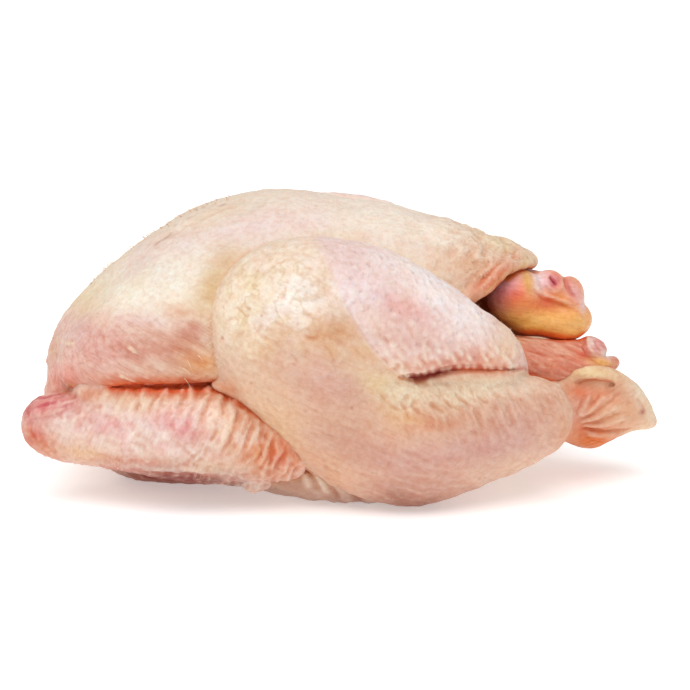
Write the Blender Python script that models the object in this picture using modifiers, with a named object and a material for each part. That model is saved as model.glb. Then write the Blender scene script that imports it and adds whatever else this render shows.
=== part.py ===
"""A whole dressed poularde lying on its back.

X runs from the neck end to the tail, Z is up and -Y is the bird's right side.
The lengths below are millimetres; the model is made in metres.
Each mass of the bird is made first, the masses are then fused into one skin,
and the underside is flattened where the bird lies on its back.
"""
import math

import bmesh
import bpy
from mathutils import Euler, Matrix, Vector

MM = 0.001

# ---------------------------------------------------------------- dimensions
# Trunk: breast, belly and back, as cross-sections at even steps from the
# neck end to the vent.
TRUNK_MIDDLE_X = -21.0
TRUNK_HALF_LENGTH = 111.0
TRUNK_AXIS_Z = (53, 55, 58, 62, 66, 69, 72, 74, 76)
TRUNK_ABOVE_AXIS = (57, 62, 67.6, 68, 65, 59, 55, 57.6, 53)
TRUNK_BELOW_AXIS = (53, 76, 70, 67, 68, 73, 79, 84, 66)
TRUNK_HALF_WIDTH = (64, 64, 62, 59, 56, 54, 54, 55, 54)
WIDEST_ABOVE_AXIS = 6.0
ROUNDNESS_TOP, ROUNDNESS_BACK = 2.1, 1.85

# Breast muscle, one each side of the keel.
BREAST_CENTRE = (-68, 34, 73)
BREAST_RADII = (57, 28, 29)
BREAST_SLOPE, BREAST_TOE = -24.0, 4.0

# Belly skin that runs back to the edge over the vent.
BELLY = ((19, 0, 89, 31), (52, 0, 81, 20), (78, 0, 79, 17))
BELLY_WIDE = 1.35
BELLY_END, BELLY_END_RADII = (69, 0, 92), (19, 23, 16.6)

# Leg: knee, thigh and drumstick, each path point as x, y, z, radius.
KNEE_CENTRE, KNEE_RADII, KNEE_TILT = (-3, -49, 71), (42, 29, 29), -6.0
THIGH = ((-4, -48, 42, 27), (26, -50, 32, 29), (50, -46, 34, 25), (84, -38, 37, 17))
DRUMSTICK = ((-22, -50, 82, 33), (10, -54, 86, 27), (56, -47, 68, 16), (72, -32, 55, 9))
LEG_FLAT = 0.92
FAR_LEG_SHIFT = (4, 0, 5)

# Wing: upper arm, forearm and the folded tip under it.
UPPER_ARM = ((-99, -36, 53, 17), (-66, -44, 40, 17), (-23, -50, 28, 12))
FOREARM = ((-125, -38, 33.3, 13.6), (-88, -50, 32.4, 14.6), (-58, -55, 33, 17), (-28, -55, 27, 12), (-17, -50, 27, 4))
WING_TIP = ((-100, -44, 25, 7), (-73, -52, 25, 11), (-33, -50, 13, 4))
WING_FLAT = 0.8

# Tail: a fat middle drawn out to a point, a broad face and a rolled rim of
# skin on each side. The far side's face is the near one's, mirrored.
TAIL_BALLS = (((111.5, -2, 30.4), (14.5, 18, 16.2)), ((111, -2, 42.5), (15, 16, 7)))
TAIL = ((106, -2, 33, 12), (121, -2, 32, 9.5), (131, -2, 30, 5.2), (141, -2, 26, 1.8))
TAIL_WIDE = 1.35
TAIL_FACE = ((99, -13, 40, 6.5), (108, -14.5, 40.5, 7), (117, -13.5, 38.5, 7), (126, -10, 34.6, 5.2), (133, -6.5, 30.4, 3))
TAIL_MIDDLE_Y = -2.5
TAIL_RIM = ((96, -10, 45, 3), (100, -16, 48.6, 3.6), (107, -19.5, 51.2, 4), (115, -19.3, 51, 4), (122, -16.5, 48.6, 3.6), (129, -12.2, 43.8, 2.9), (135, -7.6, 37.4, 2.5),
            (138.6, -4, 31.2, 2.3))
FAR_RIM = ((98, 9, 44, 3), (105, 14, 46.5, 3.5), (113, 14.5, 46.6, 3.5), (120, 11.5, 43.6, 3), (128, 7, 37.6, 2.4))

# Hocks: the far one comes out under the belly skin, the near one behind the
# near drumstick. Each ends in a pad and the rounded ends of its bones.
FAR_HOCK = ((58, 15, 84, 12), (72, 6, 82, 13), (86, 3, 79, 12))
FAR_HOCK_BALLS = (((78, -8.5, 84.7), (12.2, 12.5, 12.4)), ((99.6, -1, 73), (13.2, 13.5, 9.9)), ((84, -2, 76), (15, 14, 10.2)),
                  ((90, 1, 84), (10, 12, 9.6)), ((92.5, -5, 87.4), (7.9, 8, 8.6)), ((102, -3, 83.3), (7, 9.4, 9.4)))
NEAR_HOCK = ((62, -30, 60, 10), (84, -18, 56.4, 8.8), (97, -12, 54.6, 8), (108, -8, 55, 7.6))
NEAR_HOCK_BALLS = (((112, -8, 60.2), (6.8, 7.5, 6.2)),)
NEAR_HOCK_RIM = ((106, -18.6, 55, 2.4), (113, -16, 54.4, 2.8), (119.4, -10, 54.2, 2.6), (123, -4, 53.6, 2.2))

# Loose skin: neck skin folded under the breast, the edge over the vent, and
# the back, which spreads where the bird lies on it and runs up to the hips.
NECK_SKIN = ((-118, -26, 40, 10), (-125, 0, 38, 11), (-118, 26, 40, 10))
VENT_EDGE = ((50, -37.5, 85.5, 2), (56.2, -36.9, 90.4, 2.4), (66.2, -28, 96.3, 2.8), (75.3, -15.7, 100.4, 2.9), (84.8, 0, 99.2, 2.8),
             (75, 16, 99.4, 2.8), (60, 33, 91.5, 2.4), (53, 37, 86.5, 2))
BACK_CENTRE, BACK_RADII = (6, 0, 13), (62, 60, 19)
HIP = ((56, -22, 37, 24), (76, -18, 36, 20), (94, -12, 35, 14))

VOXEL = 1.4
BLEND_STEPS = 6
TRIANGLES = 9600
SKIN_COLOUR = (0.74, 0.56, 0.45, 1.0)


# ------------------------------------------------------------------- helpers
def spline(table, u):
    """Smooth curve through the rows of a table; u runs from 0 to len - 1."""
    n = len(table) - 1
    i = min(int(u), n - 1)
    f = u - i
    row = [table[max(i - 1, 0)], table[i], table[i + 1], table[min(i + 2, n)]]

    def one(a, b, c, d):
        return b + 0.5 * f * (c - a + f * (2 * a - 5 * b + 4 * c - d + f * (3 * (b - c) + d - a)))

    if isinstance(table[0], (int, float)):
        return one(*row)
    return tuple(one(*values) for values in zip(*row))


def new_object(name, mesh, collection):
    obj = bpy.data.objects.new(name, mesh)
    collection.objects.link(obj)
    return obj


def ball(name, centre, radii, collection, euler=(0, 0, 0)):
    """An ellipsoid with its axes turned by euler, in degrees."""
    mesh = bpy.data.meshes.new(name)
    bm = bmesh.new()
    bmesh.ops.create_uvsphere(bm, u_segments=36, v_segments=20, radius=1.0)
    turn = Euler([math.radians(a) for a in euler]).to_matrix().to_4x4()
    size = Matrix.Diagonal((*[r * MM for r in radii], 1.0))
    bm.transform(Matrix.Translation(Vector(centre) * MM) @ turn @ size)
    bm.to_mesh(mesh)
    bm.free()
    return new_object(name, mesh, collection)


def limb(name, path, collection, flat=1.0, steps=6):
    """A tube of changing radius with round ends, squeezed sideways by flat."""
    rows = [spline(path, k / steps) for k in range((len(path) - 1) * steps + 1)]
    middle_y = path[len(path) // 2][1]
    curve = bpy.data.curves.new(name, 'CURVE')
    curve.dimensions = '3D'
    curve.bevel_depth = MM
    curve.bevel_resolution = 8
    curve.use_fill_caps = True
    line = curve.splines.new('POLY')
    line.points.add(len(rows) - 1)
    for point, (x, y, z, r) in zip(line.points, rows):
        point.co = (x * MM, y * MM, z * MM, 1.0)
        point.radius = r
    guide = new_object(name + "_path", curve, collection)
    bpy.context.view_layer.update()
    mesh = bpy.data.meshes.new_from_object(guide.evaluated_get(bpy.context.evaluated_depsgraph_get()))
    bpy.data.objects.remove(guide)
    bm = bmesh.new()
    bm.from_mesh(mesh)
    bmesh.ops.remove_doubles(bm, verts=bm.verts, dist=1e-6)
    for x, y, z, r in (rows[0], rows[-1]):
        place = Matrix.Translation(Vector((x, y, z)) * MM)
        bmesh.ops.create_uvsphere(bm, u_segments=24, v_segments=16, radius=r * MM, matrix=place)
    for v in bm.verts:
        v.co.y = middle_y * MM + (v.co.y - middle_y * MM) * flat
    bm.to_mesh(mesh)
    bm.free()
    return new_object(name, mesh, collection)


def trunk(name, collection):
    """The trunk: a sphere drawn out along X through the cross-sections."""
    mesh = bpy.data.meshes.new(name)
    bm = bmesh.new()
    bmesh.ops.create_uvsphere(bm, u_segments=72, v_segments=48, radius=1.0,
                              matrix=Matrix.Rotation(math.pi / 2, 4, 'Y'))
    last = len(TRUNK_AXIS_Z) - 1
    for v in bm.verts:
        t = max(-1.0, min(1.0, v.co.x))
        swell = math.sqrt(max(1.0 - t * t, 0.0))
        u = (t + 1) / 2 * last
        axis = spline(TRUNK_AXIS_Z, u)
        widest = axis + WIDEST_ABOVE_AXIS * swell
        top = axis + spline(TRUNK_ABOVE_AXIS, u) * swell
        bottom = axis - spline(TRUNK_BELOW_AXIS, u) * swell
        angle = math.atan2(v.co.z, v.co.y)
        power = 2 / (ROUNDNESS_TOP if v.co.z > 0 else ROUNDNESS_BACK)
        across = math.copysign(abs(math.cos(angle)) ** power, math.cos(angle)) if swell > 1e-4 else 0.0
        rise = abs(math.sin(angle)) ** power if swell > 1e-4 else 0.0
        reach = (top - widest) if v.co.z > 0 else (bottom - widest)
        v.co = Vector((TRUNK_MIDDLE_X + TRUNK_HALF_LENGTH * t,
                       across * spline(TRUNK_HALF_WIDTH, u) * swell,
                       widest + rise * reach)) * MM
    bm.to_mesh(mesh)
    bm.free()
    return new_object(name, mesh, collection)


def mirrored(obj, name, collection, shift=(0, 0, 0)):
    """The same mass on the bird's other side."""
    mesh = obj.data.copy()
    mesh.transform(Matrix.Translation(Vector(shift) * MM) @ Matrix.Diagonal((1, -1, 1, 1)))
    mesh.flip_normals()
    return new_object(name, mesh, collection)


# --------------------------------------------------------------------- model
for old in list(bpy.data.objects):
    bpy.data.objects.remove(old)

scene = bpy.context.scene
bird = bpy.data.collections.new("whole poularde")
cutters = bpy.data.collections.new("cutters")
scene.collection.children.link(bird)
scene.collection.children.link(cutters)

masses = [trunk("trunk", bird)]
x, y, z = BREAST_CENTRE
for side in (-1, 1):
    masses.append(ball("breast", (x, side * y, z), BREAST_RADII, bird,
                       (0, BREAST_SLOPE, side * BREAST_TOE)))
masses.append(limb("belly", BELLY, bird, BELLY_WIDE))
masses.append(ball("belly_end", BELLY_END, BELLY_END_RADII, bird))

near_leg = [ball("knee", KNEE_CENTRE, KNEE_RADII, bird, (0, KNEE_TILT, 0)),
            limb("thigh", THIGH, bird, LEG_FLAT),
            limb("drumstick", DRUMSTICK, bird, LEG_FLAT)]
near_wing = [limb("upper_arm", UPPER_ARM, bird),
             limb("forearm", FOREARM, bird, WING_FLAT),
             limb("wing_tip", WING_TIP, bird, WING_FLAT)]
masses += near_leg + [mirrored(m, m.name + "_far", bird, FAR_LEG_SHIFT) for m in near_leg]
masses += near_wing + [mirrored(m, m.name + "_far", bird) for m in near_wing]

for centre, radii in TAIL_BALLS:
    masses.append(ball("tail", centre, radii, bird))
masses.append(limb("tail_point", TAIL, bird, TAIL_WIDE))
face = limb("tail_face", TAIL_FACE, bird)
masses += [face, mirrored(face, "tail_face_far", bird, (0, 2 * TAIL_MIDDLE_Y, 0))]
masses.append(limb("tail_rim", TAIL_RIM, bird))
masses.append(limb("tail_rim_far", FAR_RIM, bird))
masses.append(limb("far_hock", FAR_HOCK, bird))
masses.append(limb("near_hock", NEAR_HOCK, bird))
masses.append(limb("near_hock_rim", NEAR_HOCK_RIM, bird))
for centre, radii in FAR_HOCK_BALLS + NEAR_HOCK_BALLS:
    masses.append(ball("hock_end", centre, radii, bird))
masses.append(limb("neck_skin", NECK_SKIN, bird))
masses.append(limb("vent_edge", VENT_EDGE, bird))
masses.append(ball("back", BACK_CENTRE, BACK_RADII, bird))
hip = limb("hip", HIP, bird)
masses += [hip, mirrored(hip, "hip_far", bird)]

# Every mass becomes one mesh, and the skin is drawn round all of them.
whole = bmesh.new()
for mass in masses:
    whole.from_mesh(mass.data)
    bpy.data.objects.remove(mass)
mesh = bpy.data.meshes.new("poularde")
whole.to_mesh(mesh)
whole.free()
poularde = new_object("poularde", mesh, bird)

skin = poularde.modifiers.new("skin", 'REMESH')
skin.mode = 'VOXEL'
skin.voxel_size = VOXEL * MM
skin.use_smooth_shade = True

blend = poularde.modifiers.new("blend", 'SMOOTH')
blend.factor = 0.5
blend.iterations = BLEND_STEPS

bpy.context.view_layer.update()
fine = poularde.evaluated_get(bpy.context.evaluated_depsgraph_get()).to_mesh()
fine.calc_loop_triangles()
facets = poularde.modifiers.new("facets", 'DECIMATE')
facets.decimate_type = 'COLLAPSE'
facets.ratio = min(1.0, TRIANGLES / len(fine.loop_triangles))

# The underside is flat where it lies.
bm = bmesh.new()
bmesh.ops.create_cube(bm, size=1.0, matrix=Matrix.Translation((0, 0, -0.05)) @ Matrix.Diagonal((0.6, 0.6, 0.1, 1)))
ground = bpy.data.meshes.new("ground")
bm.to_mesh(ground)
bm.free()
ground_cutter = new_object("ground", ground, cutters)
ground_cutter.hide_render = True
ground_cutter.display_type = 'WIRE'
rest = poularde.modifiers.new("rest", 'BOOLEAN')
rest.operation = 'DIFFERENCE'
rest.object = ground_cutter
rest.solver = 'EXACT'

# The origin is under the middle of the bird's box.
bpy.context.view_layer.update()
shape = poularde.evaluated_get(bpy.context.evaluated_depsgraph_get()).to_mesh()
xs = [v.co.x for v in shape.vertices]
ys = [v.co.y for v in shape.vertices]
poularde.location = (-(min(xs) + max(xs)) / 2, -(min(ys) + max(ys)) / 2, 0.0)

skin_material = bpy.data.materials.new("poultry_skin")
skin_material.use_nodes = True
shader = skin_material.node_tree.nodes["Principled BSDF"]
shader.inputs["Base Color"].default_value = SKIN_COLOUR
shader.inputs["Roughness"].default_value = 0.45
shader.inputs["Metallic"].default_value = 0.0
poularde.data.materials.append(skin_material)
bpy.context.view_layer.update()
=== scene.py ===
import math
import time

import bpy
import numpy as np
from mathutils import Matrix, Vector


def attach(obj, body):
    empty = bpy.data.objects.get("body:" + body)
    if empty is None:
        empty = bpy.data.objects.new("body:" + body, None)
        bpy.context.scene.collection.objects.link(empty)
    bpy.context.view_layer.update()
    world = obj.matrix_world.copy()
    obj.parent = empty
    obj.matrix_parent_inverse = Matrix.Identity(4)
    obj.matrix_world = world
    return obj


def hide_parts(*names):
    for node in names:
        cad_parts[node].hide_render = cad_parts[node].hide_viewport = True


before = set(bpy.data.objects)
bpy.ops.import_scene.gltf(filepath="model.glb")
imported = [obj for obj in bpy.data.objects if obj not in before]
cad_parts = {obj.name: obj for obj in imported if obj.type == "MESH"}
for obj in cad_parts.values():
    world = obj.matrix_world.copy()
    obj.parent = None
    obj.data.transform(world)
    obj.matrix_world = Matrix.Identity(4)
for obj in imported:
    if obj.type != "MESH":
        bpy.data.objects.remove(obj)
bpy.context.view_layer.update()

T0 = time.time()
MM = 0.001
ORIGIN_X = -2.92          # drawing millimetres to the part's own origin, along X
F32 = np.float32

# ------------------------------------------------------------------ the view
# The photograph's camera, in drawing millimetres. pic() gives the place of a
# point in the 690 x 690 frame, so that folds and patches can be drawn on it.
VIEW_DISTANCE, VIEW_DOWN = 902.5, math.radians(12.0)
VIEW_TARGET = np.array([1.9, 0.0, 60.8])
FOCAL_PX = 2001.65
AHEAD = np.array([0, math.cos(VIEW_DOWN), -math.sin(VIEW_DOWN)])
UPWARD = np.array([0, math.sin(VIEW_DOWN), math.cos(VIEW_DOWN)])
EYE = VIEW_TARGET - VIEW_DISTANCE * AHEAD


def pic(P):
    q = P - EYE
    depth = q @ AHEAD
    return 345 + FOCAL_PX * q[..., 0] / depth - FOCAL_PX * (VIEW_TARGET[0] - EYE[0]) / depth, 345 - FOCAL_PX * (q @ UPWARD) / depth


# -------------------------------------------------------------- small maths
def rot(rx=0, ry=0, rz=0):
    a, b, c = (math.radians(v) for v in (rx, ry, rz))
    X = np.array([[1, 0, 0], [0, math.cos(a), -math.sin(a)], [0, math.sin(a), math.cos(a)]])
    Y = np.array([[math.cos(b), 0, math.sin(b)], [0, 1, 0], [-math.sin(b), 0, math.cos(b)]])
    Z = np.array([[math.cos(c), -math.sin(c), 0], [math.sin(c), math.cos(c), 0], [0, 0, 1]])
    return Z @ Y @ X


def smoothstep(a, b, x):
    t = np.clip((x - a) / (b - a), 0, 1)
    return t * t * (3 - 2 * t)


def catmull(rows, n):
    p = np.asarray(rows, float)
    p = np.vstack([2 * p[0] - p[1], p, 2 * p[-1] - p[-2]])
    out = []
    for i in range(1, len(p) - 2):
        for t in np.arange(n) / n:
            a, b, c, d = p[i - 1:i + 3]
            out.append(b + 0.5 * t * (c - a + t * (2 * a - 5 * b + 4 * c - d + t * (3 * (b - c) + d - a))))
    out.append(p[-2])
    return np.array(out)


# ------------------------------------------------------- solid building blocks
def smin(a, b, k):
    h = np.maximum(k - np.abs(a - b), 0) / k
    return np.minimum(a, b) - h * h * k * 0.25


def smax(a, b, k):
    return -smin(-a, -b, k)


def ball(P, centre, radii, turn=None):
    q = P - np.asarray(centre, P.dtype)
    if turn is not None:
        q = q @ np.asarray(turn, P.dtype)
    r = np.asarray(radii, P.dtype)
    a = np.sqrt(((q / r) ** 2).sum(-1)) + 1e-9
    b = np.sqrt(((q / r ** 2) ** 2).sum(-1)) + 1e-9
    return a * (a - 1) / b


def limb(P, rows, flat=1.0, n=5, k=5.0):
    """Round tube through rows of x, y, z, radius, squeezed sideways."""
    c = catmull(rows, n)
    cy = rows[len(rows) // 2][1]
    Q = P
    if flat != 1.0:
        Q = P.copy()
        Q[..., 1] = cy + (Q[..., 1] - cy) / flat
        c = c.copy()
        c[:, 1] = cy + (c[:, 1] - cy) / flat
    d = None
    for a, b in zip(c[:-1], c[1:]):
        ab = (b[:3] - a[:3]).astype(P.dtype)
        t = np.clip(((Q - a[:3].astype(P.dtype)) @ ab) / (ab @ ab), 0, 1)
        e = np.sqrt(((Q - a[:3].astype(P.dtype) - t[..., None] * ab) ** 2).sum(-1)) - (a[3] + (b[3] - a[3]) * t)
        d = e if d is None else smin(d, e, k)
    return d


def mirror(P):
    Q = P.copy()
    Q[..., 1] = -Q[..., 1]
    return Q


# ----------------------------------------------------------- the bird's masses
TRUNK_MIDDLE_X, TRUNK_HALF_LENGTH = -21.0, 111.0
TRUNK = dict(
    axis=(53, 55, 58, 62, 66, 69, 72, 74, 76),
    above=(57, 62, 67.6, 68, 65, 59, 55, 57.6, 53),
    below=(53, 76, 70, 67, 68, 73, 79, 84, 66),
    width=(64, 64, 62, 59, 56, 54, 54, 55, 54))
STEPS = np.linspace(-1, 1, 9)
TABLES = {k: catmull(np.stack([STEPS, np.asarray(v, float)], 1), 16) for k, v in TRUNK.items()}

BELLY = ((19, 0, 89, 31), (52, 0, 81, 20), (78, 0, 79, 17))
KNEE = ((-3, -49, 71), (42, 29, 29))
THIGH = ((-4, -48, 42, 27), (26, -50, 32, 29), (50, -46, 34, 25), (84, -38, 37, 17))
DRUMSTICK = ((-22, -50, 82, 33), (10, -54, 86, 27), (56, -47, 68, 16), (72, -32, 55, 9))
FAR_LEG_SHIFT = np.array([4, 0, 5.0])
UPPER_ARM = ((-99, -36, 53, 17), (-66, -44, 40, 17), (-23, -50, 28, 12))
FOREARM = ((-125, -38, 33.3, 13.6), (-88, -50, 32.4, 14.6), (-58, -55, 33, 17), (-28, -55, 27, 12), (-17, -50, 27, 4))
WING_TIP = ((-100, -44, 25, 7), (-73, -52, 25, 11), (-33, -50, 13, 4))
TAIL = ((106, -2, 33, 12), (121, -2, 32, 9.5), (131, -2, 30, 5.2), (141.6, -2, 25.4, 0.6))
TAIL_FACE = ((99, -13, 40, 6.5), (108, -14.5, 40.5, 7), (117, -13.5, 38.5, 7), (126, -10, 34.6, 5.2), (133, -6.5, 30.4, 3.0), (138, -4, 27.2, 1.0))
TAIL_RIM = ((96, -10, 45, 3.0), (100, -16, 48.9, 3.2), (107, -19.5, 51.9, 3.3), (115, -19.3, 51.7, 3.3), (122, -16.5, 49, 3.1), (129, -12.2, 43.8, 2.9), (135, -7.6, 37.4, 2.1), (139.4, -3.5, 30.4, 1.1))
FAR_RIM = ((98, 9, 44, 3.0), (105, 14, 46.5, 3.5), (113, 14.5, 46.6, 3.5), (120, 11.5, 43.6, 3.0), (128, 7, 37.6, 2.4), (136, 1.5, 31, 1.6))
TAIL_CREASE = ((103.2, -21.5, 47.8, 0.4), (107.6, -22.8, 48.7, 0.8), (112, -23, 48.8, 0.9), (116.9, -21.8, 48.3, 0.7), (120.8, -19, 47, 0.4))
CREVICE = ((-98, -54.5, 54.0, 0.3), (-92, -56, 54.5, 0.6), (-84.9, -57.4, 54.7, 0.9), (-74.3, -57.6, 54.7, 1.1), (-63.8, -56.4, 54.6, 1.1), (-55.4, -54, 54.4, 0.9), (-50, -53, 54.4, 0.6))
VENT_EDGE = ((50, -37.5, 85.5, 1.4), (56.2, -36.9, 90.4, 1.9), (61.7, -32.7, 93.2, 2.2), (66.2, -28, 96.3, 2.4), (69.9, -23, 98.8, 2.5), (75.3, -15.7, 100.4, 2.5), (80.6, -9, 100.2, 2.4),
             (84.8, 0, 99.2, 2.3), (80.6, 9, 99.8, 2.4), (75, 16, 99.4, 2.4), (69, 24, 97.2, 2.3), (60, 33, 91.5, 2.0), (53, 37, 86.5, 1.5))
NECK_SKIN = ((-114, -26, 40, 10), (-121, 0, 38, 11), (-114, 26, 40, 10))
HIP = ((56, -22, 37, 24), (76, -18, 36, 20), (94, -12, 35, 14))


def loft(P):
    def raw(Q):
        u = (Q[..., 0] - TRUNK_MIDDLE_X) / TRUNK_HALF_LENGTH
        t = np.clip(u, -0.998, 0.998)
        s = np.sqrt(1 - t * t)
        tab = {k: np.interp(t, v[:, 0], v[:, 1]).astype(Q.dtype) for k, v in TABLES.items()}
        wide = tab["width"] * s
        level = tab["axis"] + 6 * s
        up = Q[..., 2] > level
        h = np.where(up, tab["axis"] + tab["above"] * s - level, level - (tab["axis"] - tab["below"] * s))
        p = np.where(up, 2.1, 1.85)
        f = ((np.abs(Q[..., 1]) / wide + 1e-6) ** p + (np.abs(Q[..., 2] - level) / h + 1e-6) ** p) ** (1 / p)
        r = np.sqrt(Q[..., 1] ** 2 + (Q[..., 2] - level) ** 2) + 1e-3
        d = r * (1 - 1 / np.maximum(f, 1e-3))
        d = np.where(f < 0.2, -np.minimum(wide, h) * 0.8, d)
        return d + np.maximum(np.abs(u) - 0.998, 0) * TRUNK_HALF_LENGTH * 3
    d = raw(P)
    g = np.zeros(P.shape[:-1], P.dtype)
    for k in range(3):
        o = np.zeros(3, P.dtype)
        o[k] = 0.6
        g += ((raw(P + o) - raw(P - o)) / 1.2) ** 2
    return d / np.maximum(np.sqrt(g), 0.7)


def hollow(P):
    """Above zero where the body is open behind the belly skin's edge."""
    side = np.sqrt(P[..., 1] ** 2 + 25)
    cave = 0.764 * (P[..., 0] - 56.5) + 0.59 * (side - 38) - 0.262 * (P[..., 2] - 89)
    return smin(cave, P[..., 2] - 50, 6)


def body(P):
    """The body as it would be if it were closed behind."""
    d = loft(P)
    for s in (1, -1):
        d = smin(d, ball(P, (-68, -34 * s, 73), (57, 28, 29), rot(ry=-24, rz=4 * s)), 12)
    d = smin(d, limb(P, BELLY, 1.35), 12)
    d = smin(d, ball(P, (69, 0, 92), (19, 23, 16.6)), 5)
    # the breast overhangs a deep groove above the wings and the neck skin
    side = smoothstep(14, 34, np.abs(P[..., 1])) * smoothstep(-18, -34, P[..., 0])
    groove = np.interp(P[..., 0], (-135, -118, -90, -50, -20), (44, 47, 49, 50, 48)).astype(P.dtype)
    d = d + side * (2.0 + 5.5 * smoothstep(-126, -104, P[..., 0])) * np.exp(-((P[..., 2] - groove) / 6.5) ** 2)
    d = smin(d, limb(P, NECK_SKIN), 5)
    d = smin(d, ball(P, (6, 0, 13), (62, 60, 19)), 12)
    d = smin(d, limb(P, HIP), 12)
    return smin(d, limb(mirror(P), HIP), 12)


def crevice(P):
    Q = P.copy()
    Q[..., 1] = -np.abs(Q[..., 1])
    return limb(Q, CREVICE, 2.8, k=1.5)


def trunk(P):
    d = body(P)
    # the belly skin is a flap with the open body behind it, where the hocks come out
    inner = smax(smax(d + 3.4, 54 - P[..., 0], 3), 58 - P[..., 2], 3)
    d = smax(smax(d, -inner, 1.5), hollow(P), 2.0)
    d = smin(d, limb(P, VENT_EDGE, k=2.0), 2.0)
    d = smax(d, -crevice(P), 1.0)
    return smax(smin(d, tail(P), 6), -P[..., 2], 2.0)


def trunk_piece(P):
    """The body up to the tail, sunk a little where the tail's skin laps it."""
    return smax(trunk(P) + 0.25 * smoothstep(95.5, 97.5, P[..., 0]), P[..., 0] - 97.5, 0.3)


def tail_piece(P):
    return smax(trunk(P), 95.5 - P[..., 0], 0.3)


def tail(P):
    d = smin(ball(P, (111.5, -2, 30.4), (14.5, 18, 16.2)), limb(P, TAIL, 1.35), 8)
    far = P.copy()
    far[..., 1] = -5 - far[..., 1]
    k = np.interp(P[..., 0], (122, 138), (5.0, 0.8)).astype(P.dtype)
    d = smin(d, smin(limb(P, TAIL_FACE), limb(far, TAIL_FACE), k), k)
    d = smin(d, ball(P, (111, -2, 42.5), (15, 16, 7)), 5)
    d = smin(d, smin(limb(P, TAIL_RIM, k=2.0), limb(P, FAR_RIM, k=2.0), 2.0), 2.6)
    return smax(d, -limb(P, TAIL_CREASE, k=1.5), 0.8)


FOLD_LINE = ((24.8, -72.1, 62.7, 0.6), (28.2, -70.1, 61.9, 1.4), (32.4, -68.1, 61.5, 2.1), (38.8, -66.7, 62.5, 2.4), (46.8, -65.6, 64.0, 2.1), (54.8, -63.6, 64.0, 1.4), (63, -60.1, 62.9, 0.9), (69.7, -56.0, 62.1, 0.5), (76.1, -49.2, 61.2, 0.3))


def leg(P):
    P = P.copy()
    P[..., 1] = -49 + (P[..., 1] + 49) / 0.86
    knee = ball(P, *KNEE, rot(ry=-6))
    thigh = limb(P, THIGH, 0.92)
    drum = limb(P, DRUMSTICK, 0.95)
    k = np.clip(25 - (P[..., 0] + 5) * 0.9, 1.5, 25)
    d = smin(smin(thigh, knee, 15), smin(drum, knee, 15), k)
    d = smax(d, -limb(P, FOLD_LINE, k=2.0), 1.2)
    # the web of skin that joins the knee to the breast
    d = smin(d, ball(P, (-46, -56, 53.5), (9, 6, 3.8), rot(ry=16)), 3.5)
    return smax(d, -P[..., 2], 2.0)


def wing(P):
    arm = limb(P, UPPER_ARM)
    fore = limb(P, FOREARM, 0.8)
    tip = smin(limb(P, WING_TIP, 0.8, k=3.0), ball(P, (-36.5, -54, 12.5), (6.2, 5.0, 4.4)), 1.5)
    return smax(smin(smin(fore, tip, 1.5), arm, 5), -crevice(P), 1.0)


def far_hock(P):
    d = limb(P, ((58, 15, 84, 12), (72, 6, 82, 13), (86, 3, 79, 12)))
    d = smin(d, ball(P, (76.8, -8.8, 85.0), (13.6, 12.8, 12.6)), 4)
    d = smin(d, smin(ball(P, (99.6, -1, 73), (13.2, 13.5, 9.9)), ball(P, (84, -2, 76), (15, 14, 10.2)), 5), 3)
    d = smin(d, ball(P, (90, 1, 84), (10, 12, 9.6)), 4)
    d = smin(d, ball(P, (92.5, -5, 87.4), (7.9, 8, 8.6)), 2.5)
    return smin(d, ball(P, (102, -3, 83.3), (7.0, 9.4, 9.4)), 2.5)


def near_hock(P):
    d = limb(P, ((62, -30, 60, 10), (84, -18, 56.4, 8.8), (97, -12, 54.6, 8.0), (108, -8, 55, 7.6)))
    d = smin(d, ball(P, (112.0, -8, 60.2), (6.8, 7.5, 6.2), rot(ry=32)), 1.6)
    return smin(d, limb(P, ((100, -18, 57, 1.2), (106, -18.6, 55, 2.2), (113, -16, 54.4, 2.8), (119.4, -10, 54.2, 2.6), (123, -4, 53.6, 1.8)), k=2.0), 1.2)


# ------------------------------------------------------------- surface meshing
def sample(solid, lo, hi, h, block=4):
    """The solid on a grid of step h, worked out only near its surface."""
    lo = np.asarray(lo, float)
    n = np.ceil((np.asarray(hi, float) - lo) / h / block).astype(int) * block
    nb = n // block
    axes = [lo[i] + (np.arange(nb[i]) + 0.5) * block * h for i in range(3)]
    C = np.stack(np.meshgrid(*axes, indexing="ij"), -1).reshape(-1, 3).astype(F32)
    dc = np.concatenate([solid(C[i:i + 300000]) for i in range(0, len(C), 300000)])
    near = np.abs(dc) < block * h * 0.5 * 1.7321 * 1.5 + h
    V = np.repeat(np.repeat(np.repeat(np.sign(dc).reshape(nb), block, 0), block, 1), block, 2).astype(F32) * 1e3
    V = np.pad(V, 1, mode="edge")[1:, 1:, 1:]
    idx = np.argwhere(near.reshape(nb)) * block
    mark = np.zeros(V.shape, bool)
    for o in np.ndindex(block + 1, block + 1, block + 1):
        mark[idx[:, 0] + o[0], idx[:, 1] + o[1], idx[:, 2] + o[2]] = True
    I = np.argwhere(mark)
    out = np.concatenate([solid((lo + I[s:s + 300000] * h).astype(F32)) for s in range(0, len(I), 300000)])
    V[I[:, 0], I[:, 1], I[:, 2]] = out
    return V, lo


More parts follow.
